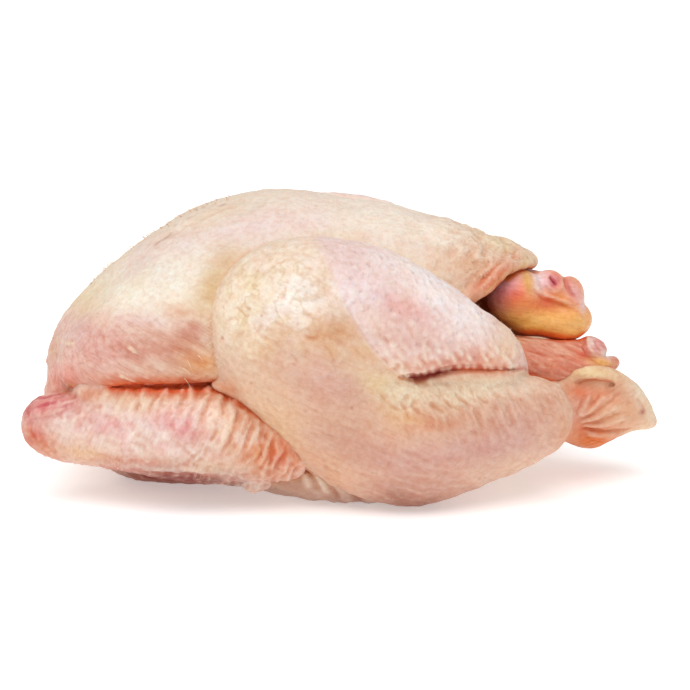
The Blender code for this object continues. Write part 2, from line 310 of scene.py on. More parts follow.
def surface(V, lo, h):
    """A mesh of quads on the zero surface, one point for each crossed cell."""
    s = V < 0
    m = np.array(V.shape) - 1
    c = np.zeros(tuple(m), np.int8)
    for o in np.ndindex(2, 2, 2):
        c += s[o[0]:o[0] + m[0], o[1]:o[1] + m[1], o[2]:o[2] + m[2]]
    cell = (c > 0) & (c < 8)
    I = np.argwhere(cell)
    ids = -np.ones(cell.shape, np.int64)
    ids[cell] = np.arange(len(I))
    acc, cnt = np.zeros((len(I), 3)), np.zeros(len(I))
    corners = list(np.ndindex(2, 2, 2))
    for i, a in enumerate(corners):
        for b in corners[i + 1:]:
            if sum(abs(np.subtract(a, b))) != 1:
                continue
            va = V[I[:, 0] + a[0], I[:, 1] + a[1], I[:, 2] + a[2]]
            vb = V[I[:, 0] + b[0], I[:, 1] + b[1], I[:, 2] + b[2]]
            k = (va < 0) != (vb < 0)
            t = np.clip(va[k] / (va[k] - vb[k]), 0.02, 0.98)
            acc[k] += np.array(a) + t[:, None] * (np.array(b) - np.array(a))
            cnt[k] += 1
    verts = lo + (I + acc / cnt[:, None]) * h
    quads = []
    for ax in range(3):
        u, w = (ax + 1) % 3, (ax + 2) % 3
        s0, s1 = [slice(None)] * 3, [slice(None)] * 3
        s0[ax], s1[ax] = slice(0, -1), slice(1, None)
        E = np.argwhere(s[tuple(s0)] != s[tuple(s1)])
        E = E[(E[:, u] > 0) & (E[:, w] > 0) & (E[:, u] < V.shape[u] - 1) & (E[:, w] < V.shape[w] - 1)]
        inner = s[E[:, 0], E[:, 1], E[:, 2]]
        q = []
        for du, dw in ((0, 0), (1, 0), (1, 1), (0, 1)):
            G = E.copy()
            G[:, u] -= du
            G[:, w] -= dw
            q.append(ids[G[:, 0], G[:, 1], G[:, 2]])
        q = np.stack(q, 1)
        q[~inner] = q[~inner][:, ::-1]
        quads.append(q)
    return verts, np.concatenate(quads)


def slope(solid, P, e=0.35):
    P = P.astype(F32)
    g = np.empty_like(P)
    for k in range(3):
        o = np.zeros(3, F32)
        o[k] = e
        g[:, k] = solid(P + o) - solid(P - o)
    return (g / (np.linalg.norm(g, axis=1)[:, None] + 1e-9)).astype(float)


def relax(v, q, rounds=1, keep=0.5):
    """Evens the mesh, or a value on it, out by drawing each point towards its
    neighbours."""
    i = np.concatenate([q[:, 0], q[:, 1], q[:, 2], q[:, 3]])
    j = np.concatenate([q[:, 1], q[:, 2], q[:, 3], q[:, 0]])
    count = np.bincount(i, minlength=len(v)) + np.bincount(j, minlength=len(v))
    for _ in range(rounds):
        m = np.empty_like(v)
        for k in range(v.shape[1]):
            m[:, k] = (np.bincount(i, v[j, k], len(v)) + np.bincount(j, v[i, k], len(v))) / count
        v = v * keep + m * (1 - keep)
    return v


# ---------------------------------------------------------------------- noise
def hashed(ix, iy, iz, seed):
    h = (ix.astype(np.int64) * 73856093) ^ (iy.astype(np.int64) * 19349663) ^ (iz.astype(np.int64) * 83492791) ^ (seed * 668265263)
    h = h & 0xFFFFFFFF
    h = ((h ^ (h >> 15)) * 2246822519) & 0xFFFFFFFF
    h = ((h ^ (h >> 13)) * 3266489917) & 0xFFFFFFFF
    return ((h ^ (h >> 16)) & 0xFFFFFF) / float(0x1000000)


def noise(P, seed=0):
    """Smooth noise between -1 and 1, one wave to a unit."""
    i = np.floor(P).astype(np.int64)
    f = P - i
    w = f * f * f * (f * (f * 6 - 15) + 10)
    out = 0
    for o in np.ndindex(2, 2, 2):
        k = 1
        for a in range(3):
            k = k * (w[:, a] if o[a] else 1 - w[:, a])
        out = out + k * hashed(i[:, 0] + o[0], i[:, 1] + o[1], i[:, 2] + o[2], seed)
    return out * 2 - 1


def fractal(P, octaves=3, seed=0):
    out, amp, total = 0, 1.0, 0
    for k in range(octaves):
        out = out + amp * noise(P * 2 ** k + 17.3 * k, seed + k)
        total += amp
        amp *= 0.5
    return out / total


def cells(P, seed=0):
    """Distance to the nearest of one scattered point to a unit cell."""
    i = np.floor(P).astype(np.int64)
    best = np.full(len(P), 9.0)
    mark = np.zeros(len(P))
    for o in np.ndindex(3, 3, 3):
        j = i + (np.array(o) - 1)
        p = [j[:, a] + hashed(j[:, 0], j[:, 1], j[:, 2], seed * 3 + a + 1) for a in range(3)]
        d = np.sqrt(sum((P[:, a] - p[a]) ** 2 for a in range(3)))
        closer = d < best
        best = np.where(closer, d, best)
        mark = np.where(closer, hashed(j[:, 0], j[:, 1], j[:, 2], seed * 3 + 7), mark)
    return best, mark


# ------------------------------------------------------- drawing on the picture
def line_distance(x, y, points, n=6):
    """Distance to a smooth line in picture pixels, and how far along it."""
    c = catmull(points, n) if len(points) > 2 else np.asarray(points, float)
    best, along = np.full(x.shape, 1e9), np.zeros(x.shape)
    side = np.zeros(x.shape)
    total = len(c) - 1
    for k, (a, b) in enumerate(zip(c[:-1], c[1:])):
        ab = b - a
        L = float(np.hypot(*ab)) + 1e-9
        t = np.clip(((x - a[0]) * ab[0] + (y - a[1]) * ab[1]) / L ** 2, 0, 1)
        dx, dy = x - a[0] - t * ab[0], y - a[1] - t * ab[1]
        d = np.hypot(dx, dy)
        m = d < best
        best = np.where(m, d, best)
        along = np.where(m, (k + t) / total, along)
        side = np.where(m, (ab[0] * dy - ab[1] * dx) / L, side)
    return best, along, side


def fold(x, y, points, width, height, power=2.0, fade=0.15):
    """A raised (or, with a negative height, sunk) line that fades at its ends."""
    d, t, _ = line_distance(x, y, points)
    ends = smoothstep(0, fade, t) * smoothstep(0, fade, 1 - t) if fade else 1.0
    return height * np.exp(-(d / width) ** power) * ends


def patch(x, y, cx, cy, rx, ry, turn=0.0, soft=1.0):
    """1 in the middle of an oval of the picture, 0 outside it."""
    a = math.radians(turn)
    u = ((x - cx) * math.cos(a) + (y - cy) * math.sin(a)) / rx
    v = (-(x - cx) * math.sin(a) + (y - cy) * math.cos(a)) / ry
    return np.exp(-np.maximum(u * u + v * v, 0) ** soft)


def srgb(r, g, b):
    c = np.array([r, g, b], float) / 255
    return np.where(c <= 0.04045, c / 12.92, ((c + 0.055) / 1.055) ** 2.4)


def tint(col, weight, colour, strength=1.0):
    w = np.clip(weight * strength, 0, 1)[:, None]
    return col * (1 - w) + colour * w


# ------------------------------------------------------------ one skin surface
def skin_piece(name, solid, lo, hi, h, relief, paint, around):
    """Meshes a mass, presses its folds and pores in, and paints its skin."""
    V, low = sample(solid, lo, hi, h)
    v, q = surface(V, low, h)
    v = relax(v, q, 1, 0.4)
    n = slope(solid, v)
    v = v - n * np.clip(solid(v.astype(F32)), -h, h)[:, None]
    n = slope(solid, v)
    Q = v.copy()
    m = n.copy()
    if name in ("trunk_skin", "tail_skin"):       # both sides carry the same marks
        Q[:, 1] = -np.abs(Q[:, 1])
        m[:, 1] = np.where(v[:, 1] > 0, -m[:, 1], m[:, 1])
    x, y = pic(Q)
    facing = smoothstep(0.0, 0.45, -(m @ AHEAD))
    d = relief(v, n, x, y, facing)
    v = v + n * d[:, None]
    v[:, 2] = np.maximum(v[:, 2], 0.0)
    # cavity: how far a spot stands proud of (1) or sunk in (-1) the skin round it
    soft = relax(d[:, None], q, int(12 / h), 0.5)[:, 0]
    cavity = np.clip((d - soft) / 0.40, -1, 1)
    # close: how near the neighbouring masses are, from 0 in the open to 1
    close = 0
    for reach in (3.0, 8.0):
        gap = np.concatenate([around((v + n * reach)[i:i + 300000].astype(F32)) for i in range(0, len(v), 300000)])
        close = close + 0.5 * np.clip(1 - gap / reach, 0, 1)
    col = paint(v, n, x, y, facing, close)
    # painted highlight: raised spots tinted paler cream; painted shade: sunk spots made darker and warmer
    col = tint(col, np.maximum(cavity, 0) * np.clip(4 * col.mean(1), 0, 1) ** 2, srgb(250, 234, 214), 0.34)
    col = col * (1 - np.maximum(-cavity, 0)[:, None] * np.array([0.10, 0.30, 0.40])) * LIGHT
    return v, q, np.clip(col, 0, 1), np.clip(MARKS[name](v, x, y, facing), 0, 1)


def to_object(name, v, q, col, marks, flip=False):
    mesh = bpy.data.meshes.new(name)
    mesh.vertices.add(len(v))
    world = v.copy()
    world[:, 0] += ORIGIN_X
    mesh.vertices.foreach_set("co", (world * MM).astype(F32).ravel())
    q = q[:, ::-1] if flip else q
    mesh.loops.add(q.size)
    mesh.loops.foreach_set("vertex_index", np.ascontiguousarray(q).astype(np.int32).ravel())
    mesh.polygons.add(len(q))
    mesh.polygons.foreach_set("loop_start", np.arange(0, q.size, 4, dtype=np.int32))
    mesh.update(calc_edges=True)
    mesh.validate()
    mesh.shade_smooth()
    attr = mesh.color_attributes.new("skin", 'FLOAT_COLOR', 'POINT')
    attr.data.foreach_set("color", np.concatenate([col, np.ones((len(v), 1))], 1).astype(F32).ravel())
    attr = mesh.color_attributes.new("marks", 'FLOAT_COLOR', 'POINT')
    attr.data.foreach_set("color", np.concatenate([marks, np.ones((len(v), 1))], 1).astype(F32).ravel())
    obj = bpy.data.objects.new(name, mesh)
    bpy.context.scene.collection.objects.link(obj)
    return obj


# ------------------------------------------------------------------ the relief
def picture_way(degrees):
    """A direction in the picture, clockwise from the right, as one in space."""
    a = math.radians(degrees)
    return np.array([math.cos(a), 0.0, -math.sin(a)])


def streaks(P, degrees, length, width, seed, bend=0.35):
    """Noise drawn out along one direction."""
    a = picture_way(degrees)
    c = picture_way(degrees + 90)
    Q = np.stack([P @ a / length, P @ c / width, P[:, 1] / (width * 1.6)], 1)
    Q[:, 1] += bend * noise(Q * (1.1, 0.35, 0.35) + 5.5, seed + 50)
    return noise(Q, seed)


def ridged(n):
    return 1 - 2 * np.abs(n)


def pimples(P, spacing, size, seed):
    """Round bumps, one to each feather's place."""
    d, mark = cells(P / spacing, seed)
    return np.exp(-(d * spacing / size) ** 2) * (0.45 + 0.75 * mark)


def wobble(P, x, y, amount=2.0, size=7.0):
    """Shifts picture places a little, so that a drawn line wanders."""
    return x + amount * noise(P / size, 91), y + amount * noise(P / size + 4.4, 93)


def drawn(x, y, rows, fade=0.22):
    out = 0
    for points, width, height in rows:
        out = out + fold(x, y, points, width, height, fade=fade)
    return out


TRUNK_FOLDS = (
    # the keel's skin fold along the breast
    (((150, 251), (170, 238), (194, 224), (220, 211), (246, 202), (280, 199)), 2.0, -0.35),
    (((140, 252), (160, 236), (186, 221), (214, 207), (240, 197), (282, 193)), 3.0, 0.45),
    # wrinkles behind the belly skin's edge
    (((511, 250), (508, 261), (498, 272), (487, 284), (476, 295)), 2.6, 0.9),
    (((504, 257), (495, 268), (484, 279), (472, 290)), 2.2, -0.7),
    (((494, 245), (489, 254), (491, 262), (486, 271)), 2.4, 0.6),
    (((481, 241), (478, 251), (474, 262)), 2.2, 0.4),
    (((498, 264), (485, 273), (472, 282)), 2.4, 0.5),
    (((487, 262), (476, 271), (463, 278)), 2.2, 0.4),
    (((504, 243), (500, 251), (501, 259)), 2.2, 0.5),
    (((516, 249), (513, 257), (506, 266)), 2.0, -0.5),
    # folds of the back skin where it leaves the floor
    (((298, 462), (303, 474), (312, 492)), 4.6, 0.85),
    (((306, 464), (311, 476), (320, 494)), 3.2, -1.1),
    (((313, 466), (320, 480), (328, 497)), 4.2, 0.7),
    (((320, 470), (330, 484), (339, 501)), 3.2, -0.9),
    (((326, 474), (342, 487), (352, 503)), 4.6, 0.65),
    (((336, 480), (352, 491), (364, 504)), 3.2, -0.8),
    (((346, 483), (364, 494), (382, 506)), 4.4, 0.8),
    (((366, 492), (384, 500), (400, 507)), 3.0, -0.9),
    (((388, 494), (410, 501), (430, 504)), 3.8, 0.9),
    # thin strands lying on the breast
    (((60, 340), (68, 343), (76, 344)), 1.3, 0.6),
    (((118, 375), (126, 378), (137, 383)), 1.5, 0.9),
    (((128, 345), (133, 350), (137, 354)), 1.4, 0.7),
    (((104, 362), (108, 367)), 1.6, 0.6),
    (((90, 362), (94, 366)), 1.4, 0.4),
)

TAIL_FOLDS = (
    # a shadowed crease under the rim, and folds that fan out from the tail's root
    (((577, 420), (588, 412), (600, 401), (608, 393)), 1.9, 0.75),
    (((577, 421), (590, 415), (604, 406), (618, 397)), 1.8, -0.65),
    (((577, 423), (592, 419), (607, 412), (622, 402)), 1.9, 0.75),
    (((578, 424), (594, 422), (610, 418), (628, 408)), 1.7, -0.6),
    (((578, 426), (596, 425), (614, 422), (634, 414)), 1.9, 0.7),
    (((578, 428), (600, 430), (622, 431), (644, 427)), 1.4, -1.0),
    (((578, 431), (598, 434), (618, 435), (636, 432)), 2.2, 0.6),
    (((577, 418), (583, 410), (588, 400), (589, 392)), 1.9, 0.7),
    (((576, 417), (580, 408), (582, 398)), 1.5, -0.6),
    (((589, 408), (597, 400), (601, 393)), 1.4, -0.55),
    (((604, 404), (614, 398), (622, 393)), 1.6, -0.4),
    (((582, 434), (594, 440), (606, 444)), 1.8, -0.4),
    (((586, 430), (604, 437), (622, 440)), 1.8, 0.4),
    (((636, 398), (643, 406), (648, 416)), 2.0, -0.35),
    (((611, 415), (620, 414), (628, 411)), 1.1, -0.3),
)

KNEE_FOLDS = (
    (((241, 350), (247, 341), (256, 338), (264, 343), (266, 351), (260, 357), (250, 358), (242, 351)), 1.6, 0.35),
    (((236, 304), (241, 311), (247, 316), (252, 313)), 1.5, -0.6),
    (((243, 301), (247, 308), (254, 309)), 1.5, -0.4),
    (((226, 322), (234, 318), (240, 322)), 1.6, -0.4),
    (((268, 268), (276, 263), (286, 261)), 1.8, -0.35),
    (((247, 276), (252, 270), (259, 268), (262, 273)), 1.4, 0.35),
    (((290, 352), (296, 362), (292, 372)), 1.6, -0.3),
    (((322, 344), (330, 352), (336, 366)), 1.8, -0.35),
    (((300, 333), (312, 338), (322, 336)), 2.0, -0.4),
    (((355, 347), (361, 355), (368, 362)), 1.8, -0.3),
)

WING_SPIKES = ((81, 389), (108, 393), (127, 394), (145, 394), (166, 391), (181, 391), (193, 390), (206, 390), (221, 392), (237, 396))


WING_RIDGES = (
    ((72, 395), (65, 403), (53, 410)),
    ((82, 390), (80, 399), (72, 408), (63, 416)),
    ((97, 397), (92, 406), (86, 416)),
    ((111, 398), (105, 408), (101, 420), (95, 428)),
    ((124, 396), (119, 406), (114, 418)),
    ((139, 395), (134, 404), (130, 416), (122, 429)),
    ((155, 393), (147, 402), (143, 416), (137, 427), (130, 437)),
    ((166, 390), (158, 401), (152, 414), (149, 429)),
    ((180, 389), (176, 402), (168, 414), (162, 425), (155, 443), (149, 452)),
    ((193, 392), (188, 406), (183, 418), (176, 433)),
    ((206, 389), (203, 402), (197, 416), (191, 433), (183, 446)),
    ((218, 397), (216, 410), (212, 425), (204, 443)),
    ((231, 397), (231, 412), (227, 427), (222, 445), (212, 458)),
    ((243, 408), (245, 422), (241, 437), (235, 452), (225, 464)),
    ((254, 420), (258, 435), (256, 450), (248, 466)),
    ((265, 434), (269, 450), (267, 466), (260, 477)),
)


WING_FOLDS = tuple((r[:3] if i < 9 else r, (2.6, 3.2, 2.3)[i % 3] + (0.8 if i > 9 else 0), (0.95, 0.6, 0.8)[i % 3] * (1.0 if i > 8 else 0.8)) for i, r in enumerate(WING_RIDGES)) + tuple(
    (tuple((a + 5, b + 1) for a, b in (r[:3] if i < 5 else r)), 1.9, -0.5) for i, r in enumerate(WING_RIDGES[5:])) + (
    # the edge where the wing's skin turns under
    (((96, 460), (114, 464), (139, 466), (164, 468), (187, 469), (216, 471), (243, 474)), 2.6, 1.0),
    (((110, 468), (140, 471), (170, 473), (215, 476), (240, 479)), 2.6, -0.9),
    # skin gathered towards the elbow
    (((249, 411), (246, 424), (240, 438), (231, 450)), 2.0, -0.6),
    (((257, 417), (256, 431), (250, 446), (241, 460)), 2.2, 0.9),
    (((262, 424), (261, 437), (255, 452), (246, 466)), 1.8, -0.7),
    (((267, 427), (268, 441), (264, 455), (256, 468)), 2.2, 0.9),
    (((273, 434), (272, 447), (267, 460), (259, 472)), 1.8, -0.7),
    (((277, 438), (279, 450), (275, 463), (268, 474)), 2.1, 0.8),
    (((283, 445), (283, 456), (278, 467), (271, 477)), 1.7, -0.6),
    (((288, 450), (290, 459), (286, 468), (279, 477)), 2.0, 0.7),
    (((252, 462), (262, 468), (272, 470)), 1.8, -0.4),
    (((40, 440), (60, 449), (84, 456), (104, 460)), 3.0, 0.5),
    # shallow creases on the smooth part
    (((84, 424), (96, 432), (104, 446)), 2.2, -0.3),
    (((128, 436), (140, 446), (152, 458)), 2.4, -0.3),
    (((174, 440), (184, 450), (198, 460)), 2.4, -0.35),
    (((60, 408), (74, 414), (88, 420)), 2.0, 0.35),
    (((196, 436), (214, 446), (224, 458)), 2.6, 0.4),
)


THIGH_FOLDS = (
    (((372, 384), (383, 398), (396, 409), (408, 408), (416, 398)), 1.9, -0.35),
    (((379, 383), (389, 394), (399, 402), (408, 400)), 2.6, 0.3),
    (((424, 398), (434, 406), (446, 414)), 2.0, -0.7),
    (((436, 395), (448, 404), (462, 412)), 2.0, -0.65),
    (((452, 391), (462, 400), (476, 408)), 2.0, -0.6),
    (((468, 388), (478, 397), (490, 404)), 2.0, -0.5),
    (((486, 386), (496, 394), (508, 401)), 2.0, -0.45),
    (((396, 398), (404, 408), (410, 420)), 1.9, -0.5),
    (((410, 406), (420, 413), (428, 420)), 2.0, -0.4),
    (((405, 385), (412, 388), (417, 395)), 1.8, -0.4),
    (((423, 382), (429, 386), (432, 393)), 1.8, -0.4),
)


def trunk_relief(P, n, x, y, facing):
    tail = smoothstep(556, 570, x) * smoothstep(350, 364, y)
    breast = smoothstep(260, 190, x)
    low = smoothstep(290, 340, y) * breast
    d = 0.60 * fractal(P / 17, 2, 3) + 0.26 * fractal(P / 5.0, 2, 9)
    # fine slanting lines of feather places on the breast
    d += 0.26 * (0.45 + low) * breast * streaks(P, 24, 9, 2.4, 11)
    d += (0.14 + 0.22 * low) * pimples(P, 4.0, 1.25, 13) * breast
    # pebbled, wrinkled skin towards the belly's edge
    end = smoothstep(400, 480, x) * (1 - tail)
    d += 0.75 * end * ridged(streaks(P, -38, 8, 4.6, 17)) * smoothstep(310, 240, y)
    d += 0.26 * smoothstep(440, 490, x) * (1 - tail) * ridged(streaks(P, -64, 9, 3.4, 18))
    d += (0.12 + 0.24 * end) * pimples(P, 4.2, 1.4, 19)
    # loose skin underneath
    under = smoothstep(24, 8, P[:, 2]) * (1 - tail)
    d += 0.55 * under * ridged(streaks(P, 60, 16, 7, 23))
    d += 0.16 * tail * ridged(streaks(P, -24, 10, 2.6, 27)) * smoothstep(372, 392, y)
    d += drawn(*wobble(P, x, y), TRUNK_FOLDS) * facing
    return d + drawn(*wobble(P, x, y, 1.4, 5.0), TAIL_FOLDS) * tail * np.maximum(facing, 0.25)


LEG_LINE = ((300, 222), (316, 240), (325, 259), (337, 289), (351, 317), (366, 341), (386, 363), (404, 377), (414, 378), (433, 375), (452, 371), (471, 370), (500, 371), (519, 370), (534, 372))


def leg_regions(x, y):
    d, t, side = line_distance(x, y, LEG_LINE, 4)
    soft = np.interp(t, (0, 0.12, 0.25, 0.5), (16.0, 8.0, 3.5, 1.2))
    drum = smoothstep(soft, -soft, side)
    return d, t, drum


def teeth(x, y):
    """Swollen feather places along the drumstick's lower edge: a bead at the
    edge, with slanting drops in rows above it."""
    c = catmull(LEG_LINE, 4)
    out = 0
    for k in range(16):
        r1, r2, r3 = (math.sin(k * q) for q in (2.399, 5.13, 3.71))
        cx = 391 + 8.4 * k + 1.5 * r1
        cy = float(np.interp(cx, c[:, 0], c[:, 1])) - 3.2 - 0.7 * r2
        out = out + (0.95 + 0.25 * r3) * patch(x, y, cx, cy, 2.9, 3.6, 10 * r1)
        for row, (dx, dy, tall) in enumerate(((-4.5, -11, 0.50), (-2, -20, 0.34), (-10, -29, 0.24), (-8, -39, 0.18))):
            s1, s2 = math.sin(k * 3.3 + row * 2.1), math.sin(k * 4.7 + row * 1.3)
            out = out + (tall + 0.16 * s1) * patch(x, y, cx + dx + 2.4 * s2, cy + dy + 2.6 * s1, 4.4, 2.1, 60 + 14 * s2)
    return out


def warped(P, seed, size=4.0):
    """The points pushed about a little, so that a pattern has no straight run."""
    return P + size * np.stack([fractal(P / 6 + 3.1 * k, 2, seed + k) for k in range(3)], 1).astype(P.dtype)


def leg_relief(P, n, x, y, facing):
    dist, t, drum = leg_regions(x, y)
    drum = drum * facing
    thigh = (1 - drum)
    knee = patch(x, y, 280, 300, 62, 58)
    d = 0.65 * fractal(P / 15, 2, 21) + 0.24 * fractal(P / 5, 2, 29)
    # the drumstick: pimpled skin, swelling at the lower edge
    d += drum * (0.22 + 0.26 * smoothstep(330, 380, x)) * pimples(P, 3.9, 1.15, 31) * smoothstep(300, 345, x + 0.6 * (y - 240))
    d += drum * 1.25 * teeth(x, y)
    d += drum * 0.22 * streaks(P, 58, 9, 2.0, 33)
    # the skin's step where it laps over the knee, deepening into the fold
    d += facing * 0.50 * np.exp(-(dist / 2.0) ** 2) * smoothstep(0.1, 0.35, t) * (1 - 2 * drum)
    # the knee: blotchy, finely creased
    Q = warped(P, 181)
    d += knee * (0.40 * ridged(fractal(Q / 8, 2, 35)) + 0.16 * ridged(fractal(Q / 3.4, 2, 37)))
    d += drawn(*wobble(P, x, y, 1.2, 5), KNEE_FOLDS + THIGH_FOLDS) * facing
    # the thigh: wrinkles across the fold, then fine lines down its side
    near = patch(x, y, 422, 400, 42, 26, -6) * thigh
    d += near * 1.0 * ridged(streaks(P, 98, 8, 4.4, 41, 0.7))
    side = patch(x, y, 500, 405, 70, 36) * thigh
    d += side * (0.42 * ridged(streaks(P, 70, 14, 3.2, 43, 0.6)))
    d += thigh * 0.17 * streaks(P, 25, 8, 2.0, 45)
    d += thigh * 0.22 * pimples(P, 4.4, 1.1, 47)
    low = smoothstep(440, 480, y) * thigh
    d += low * 0.25 * ridged(streaks(P, 10, 14, 4, 49))
    return d


def wing_relief(P, n, x, y, facing):
    right = smoothstep(150, 215, x)
    d = 0.50 * fractal(P / 9, 3, 51) + 0.20 * ridged(fractal(warped(P, 191) / 3.2, 2, 53))
    d += (0.26 + 0.30 * right) * ridged(streaks(P, 114, 9, 3.2, 55, 0.7))
    d += 0.40 * pimples(P, 3.6, 1.1, 57)
    wx, wy = wobble(P, x, y, 3.0, 6.0)
    d += drawn(wx, wy, WING_FOLDS, 0.35) * (0.75 + 0.6 * noise(P / 7, 58)) * np.maximum(facing, 0.35)
    for k, (cx, cy) in enumerate(WING_SPIKES):
        d = d + (1.4 + 0.6 * math.sin(2.3 * k)) * patch(x, y, cx + 2.5 * math.sin(3.9 * k), cy + 2, 7.0, 3.4 + 0.7 * math.sin(k), 104 + 12 * math.sin(1.7 * k), 0.8)
    elbow = patch(x, y, 270, 455, 30, 30)
    d += 0.22 * elbow * ridged(fractal(P / 4, 2, 59))
    return d


def far_hock_relief(P, n, x, y, facing):
    d = 0.16 * fractal(P / 5, 3, 61)
    gold = smoothstep(300, 316, y)
    d += gold * 0.10 * streaks(P, 6, 9, 1.3, 63)
    d += drawn(x, y, (
        (((549, 275), (553, 280), (558, 286)), 1.8, -1.3),
        (((546, 272), (552, 270), (559, 274), (563, 281), (560, 289), (552, 290), (547, 283), (546, 273)), 2.0, 0.55),
        (((564, 275), (566, 283), (570, 292), (577, 299)), 2.2, -1.2),
        (((526, 272), (529, 281), (533, 290)), 2.0, 0.5),
        (((536, 268), (534, 280), (540, 292), (552, 297), (566, 302), (578, 309)), 2.0, 0.6),
        (((533, 285), (541, 297), (556, 303), (572, 310)), 2.0, -0.6),
    )) * np.maximum(facing, 0.3)
    return d


def near_hock_relief(P, n, x, y, facing):
    d = 0.18 * fractal(P / 5, 3, 71)
    d += 0.26 * ridged(streaks(P, 24, 14, 1.9, 73))
    d += drawn(x, y, (
        (((590, 334), (588, 343), (592, 352), (600, 357)), 1.8, 0.8),
        (((594, 338), (597, 346), (603, 353)), 1.6, -0.9),
        (((600, 337), (604, 345), (607, 352)), 1.5, 0.4),
        (((585, 337), (584, 348), (590, 357), (600, 362)), 1.8, -0.7),
        (((505, 333), (520, 338), (540, 341), (560, 345), (580, 346)), 2.0, 0.5),
        (((512, 345), (530, 351), (552, 356), (575, 356)), 1.8, -0.5),
    )) * np.maximum(facing, 0.3)
    return d


# ------------------------------------------------------------------- the paint
LIGHT = np.array([0.888, 0.925, 0.93])     # how much paler the photograph's skin looks than it is


def mottled(col, P, seed, amount=1.0):
    """Blotches of paler, pinker and yellower skin, as real skin has."""
    a = fractal(P / 11, 3, seed)
    b = fractal(P / 6 + 31.7, 3, seed + 5)
    c = noise(P / 2.2, seed + 9)
    tone = 1 + amount * (0.035 * a + 0.018 * c)
    out = col * tone[:, None]
    out = out * (1 + amount * b[:, None] * np.array([0.012, -0.035, -0.045]))
    out = out * (1 + amount * a[:, None] * np.array([0.0, -0.010, -0.060]))
    return out


def painted(col, x, y, rows):
    for cx, cy, rx, ry, turn, colour, strength in rows:
        col = tint(col, patch(x, y, cx, cy, rx, ry, turn), srgb(*colour), strength)
    return col


TRUNK_TONES = (
    # cx, cy, rx, ry, turn, colour, strength
    (340, 212, 75, 20, 5, (245, 231, 217), 0.9),
    (255, 212, 60, 14, -12, (241, 221, 196), 0.8),
    (225, 240, 80, 20, -24, (244, 222, 221), 0.95),
    (290, 225, 50, 14, -5, (243, 218, 212), 0.8),
    (150, 262, 44, 16, -38, (242, 216, 210), 0.8),
    (190, 264, 44, 14, -25, (248, 234, 220), 0.75),
    (130, 292, 66, 20, -22, (249, 239, 218), 0.95),
    (165, 285, 46, 18, -20, (250, 240, 226), 0.8),
    (84, 305, 26, 22, -50, (238, 214, 168), 0.7),
    # painted shade: ochre on the breast beside the knee
    (216, 286, 17, 34, 22, (224, 188, 138), 0.95),
    (232, 262, 16, 20, 30, (230, 196, 160), 0.7),
    (180, 312, 13, 7, 10, (220, 160, 128), 0.6),
    (140, 322, 36, 10, 8, (238, 210, 206), 0.8),
    (96, 352, 52, 34, 10, (230, 178, 168), 0.95),
    (74, 330, 26, 14, -20, (236, 200, 192), 0.8),
    (108, 336, 40, 10, 18, (228, 178, 170), 0.7),
    (130, 350, 17, 7, 28, (204, 118, 96), 0.75),
    (162, 350, 38, 17, 8, (214, 150, 130), 0.85),
    (192, 334, 18, 14, 0, (214, 148, 128), 0.85),
    (202, 364, 24, 14, 8, (234, 168, 108), 0.95),
    (183, 346, 14, 9, 10, (218, 156, 132), 0.6),
    (112, 378, 54, 7, 2, (232, 168, 148), 0.75),
    (176, 380, 34, 6, 4, (222, 146, 106), 0.85),
    (52, 352, 5, 18, 8, (224, 172, 136), 0.75),
    (60, 376, 18, 16, 4, (240, 170, 156), 0.95),
    # painted shade: red-orange bands along the crevice where the breast overhangs the wing
    (166, 388, 60, 4.5, -2, (220, 98, 56), 0.9),
    (150, 383, 60, 4, 2, (208, 112, 76), 0.7),
    (96, 391, 56, 6, 0, (212, 98, 68), 0.85),
    (62, 384, 18, 10, 0, (236, 150, 130), 0.8),
    # painted shade: dark red on the underside beneath the wing
    (175, 480, 90, 12, 3, (152, 52, 26), 0.95),
    (470, 264, 46, 26, 38, (226, 170, 130), 0.85),
    (493, 283, 31, 13, -44, (226, 100, 36), 0.92),
    (500, 242, 24, 9, 25, (238, 214, 172), 0.8),
    (516, 255, 7, 9, 0, (232, 176, 150), 0.8),
    (440, 233, 30, 12, 24, (249, 236, 222), 0.75),
    (528, 262, 9, 8, 30, (238, 208, 166), 0.9),
    (430, 228, 46, 14, 22, (248, 234, 220), 0.9),
    (400, 240, 50, 14, 20, (246, 224, 210), 0.6),
    # painted shade: the back skin darker under the thigh, by the floor
    (350, 496, 80, 16, 6, (178, 130, 112), 0.95),
    (413, 498, 34, 9, 4, (160, 96, 78), 0.9),
    (322, 478, 20, 14, 40, (224, 194, 174), 0.7),
    # painted shade: darker skin under the thigh's right end, by the floor
    (470, 490, 50, 12, -12, (206, 160, 142), 0.9),
)

TAIL_TONES = (
    (590, 373, 36, 8, 4, (240, 216, 172), 0.95),
    (640, 392, 20, 14, 45, (243, 224, 196), 0.95),
    (652, 414, 14, 12, 50, (244, 222, 196), 0.9),
    (600, 402, 26, 16, 0, (226, 140, 104), 0.9),
    (578, 408, 12, 20, 0, (228, 168, 146), 0.9),
    (618, 415, 26, 12, 10, (230, 180, 146), 0.8),
    (580, 392, 10, 8, 20, (220, 120, 76), 0.8),
    (596, 442, 34, 12, 0, (226, 114, 18), 0.95),
    (588, 428, 14, 5, 10, (226, 120, 66), 0.6),
    (606, 404, 5, 9, 50, (236, 196, 166), 0.6),
    (620, 408, 5, 9, 60, (238, 200, 168), 0.6),
    (584, 430, 12, 8, 30, (214, 112, 66), 0.7),
    (640, 430, 18, 6, -16, (244, 214, 182), 0.8),
    (642, 412, 2.2, 3.0, 25, (176, 60, 44), 0.9),
)


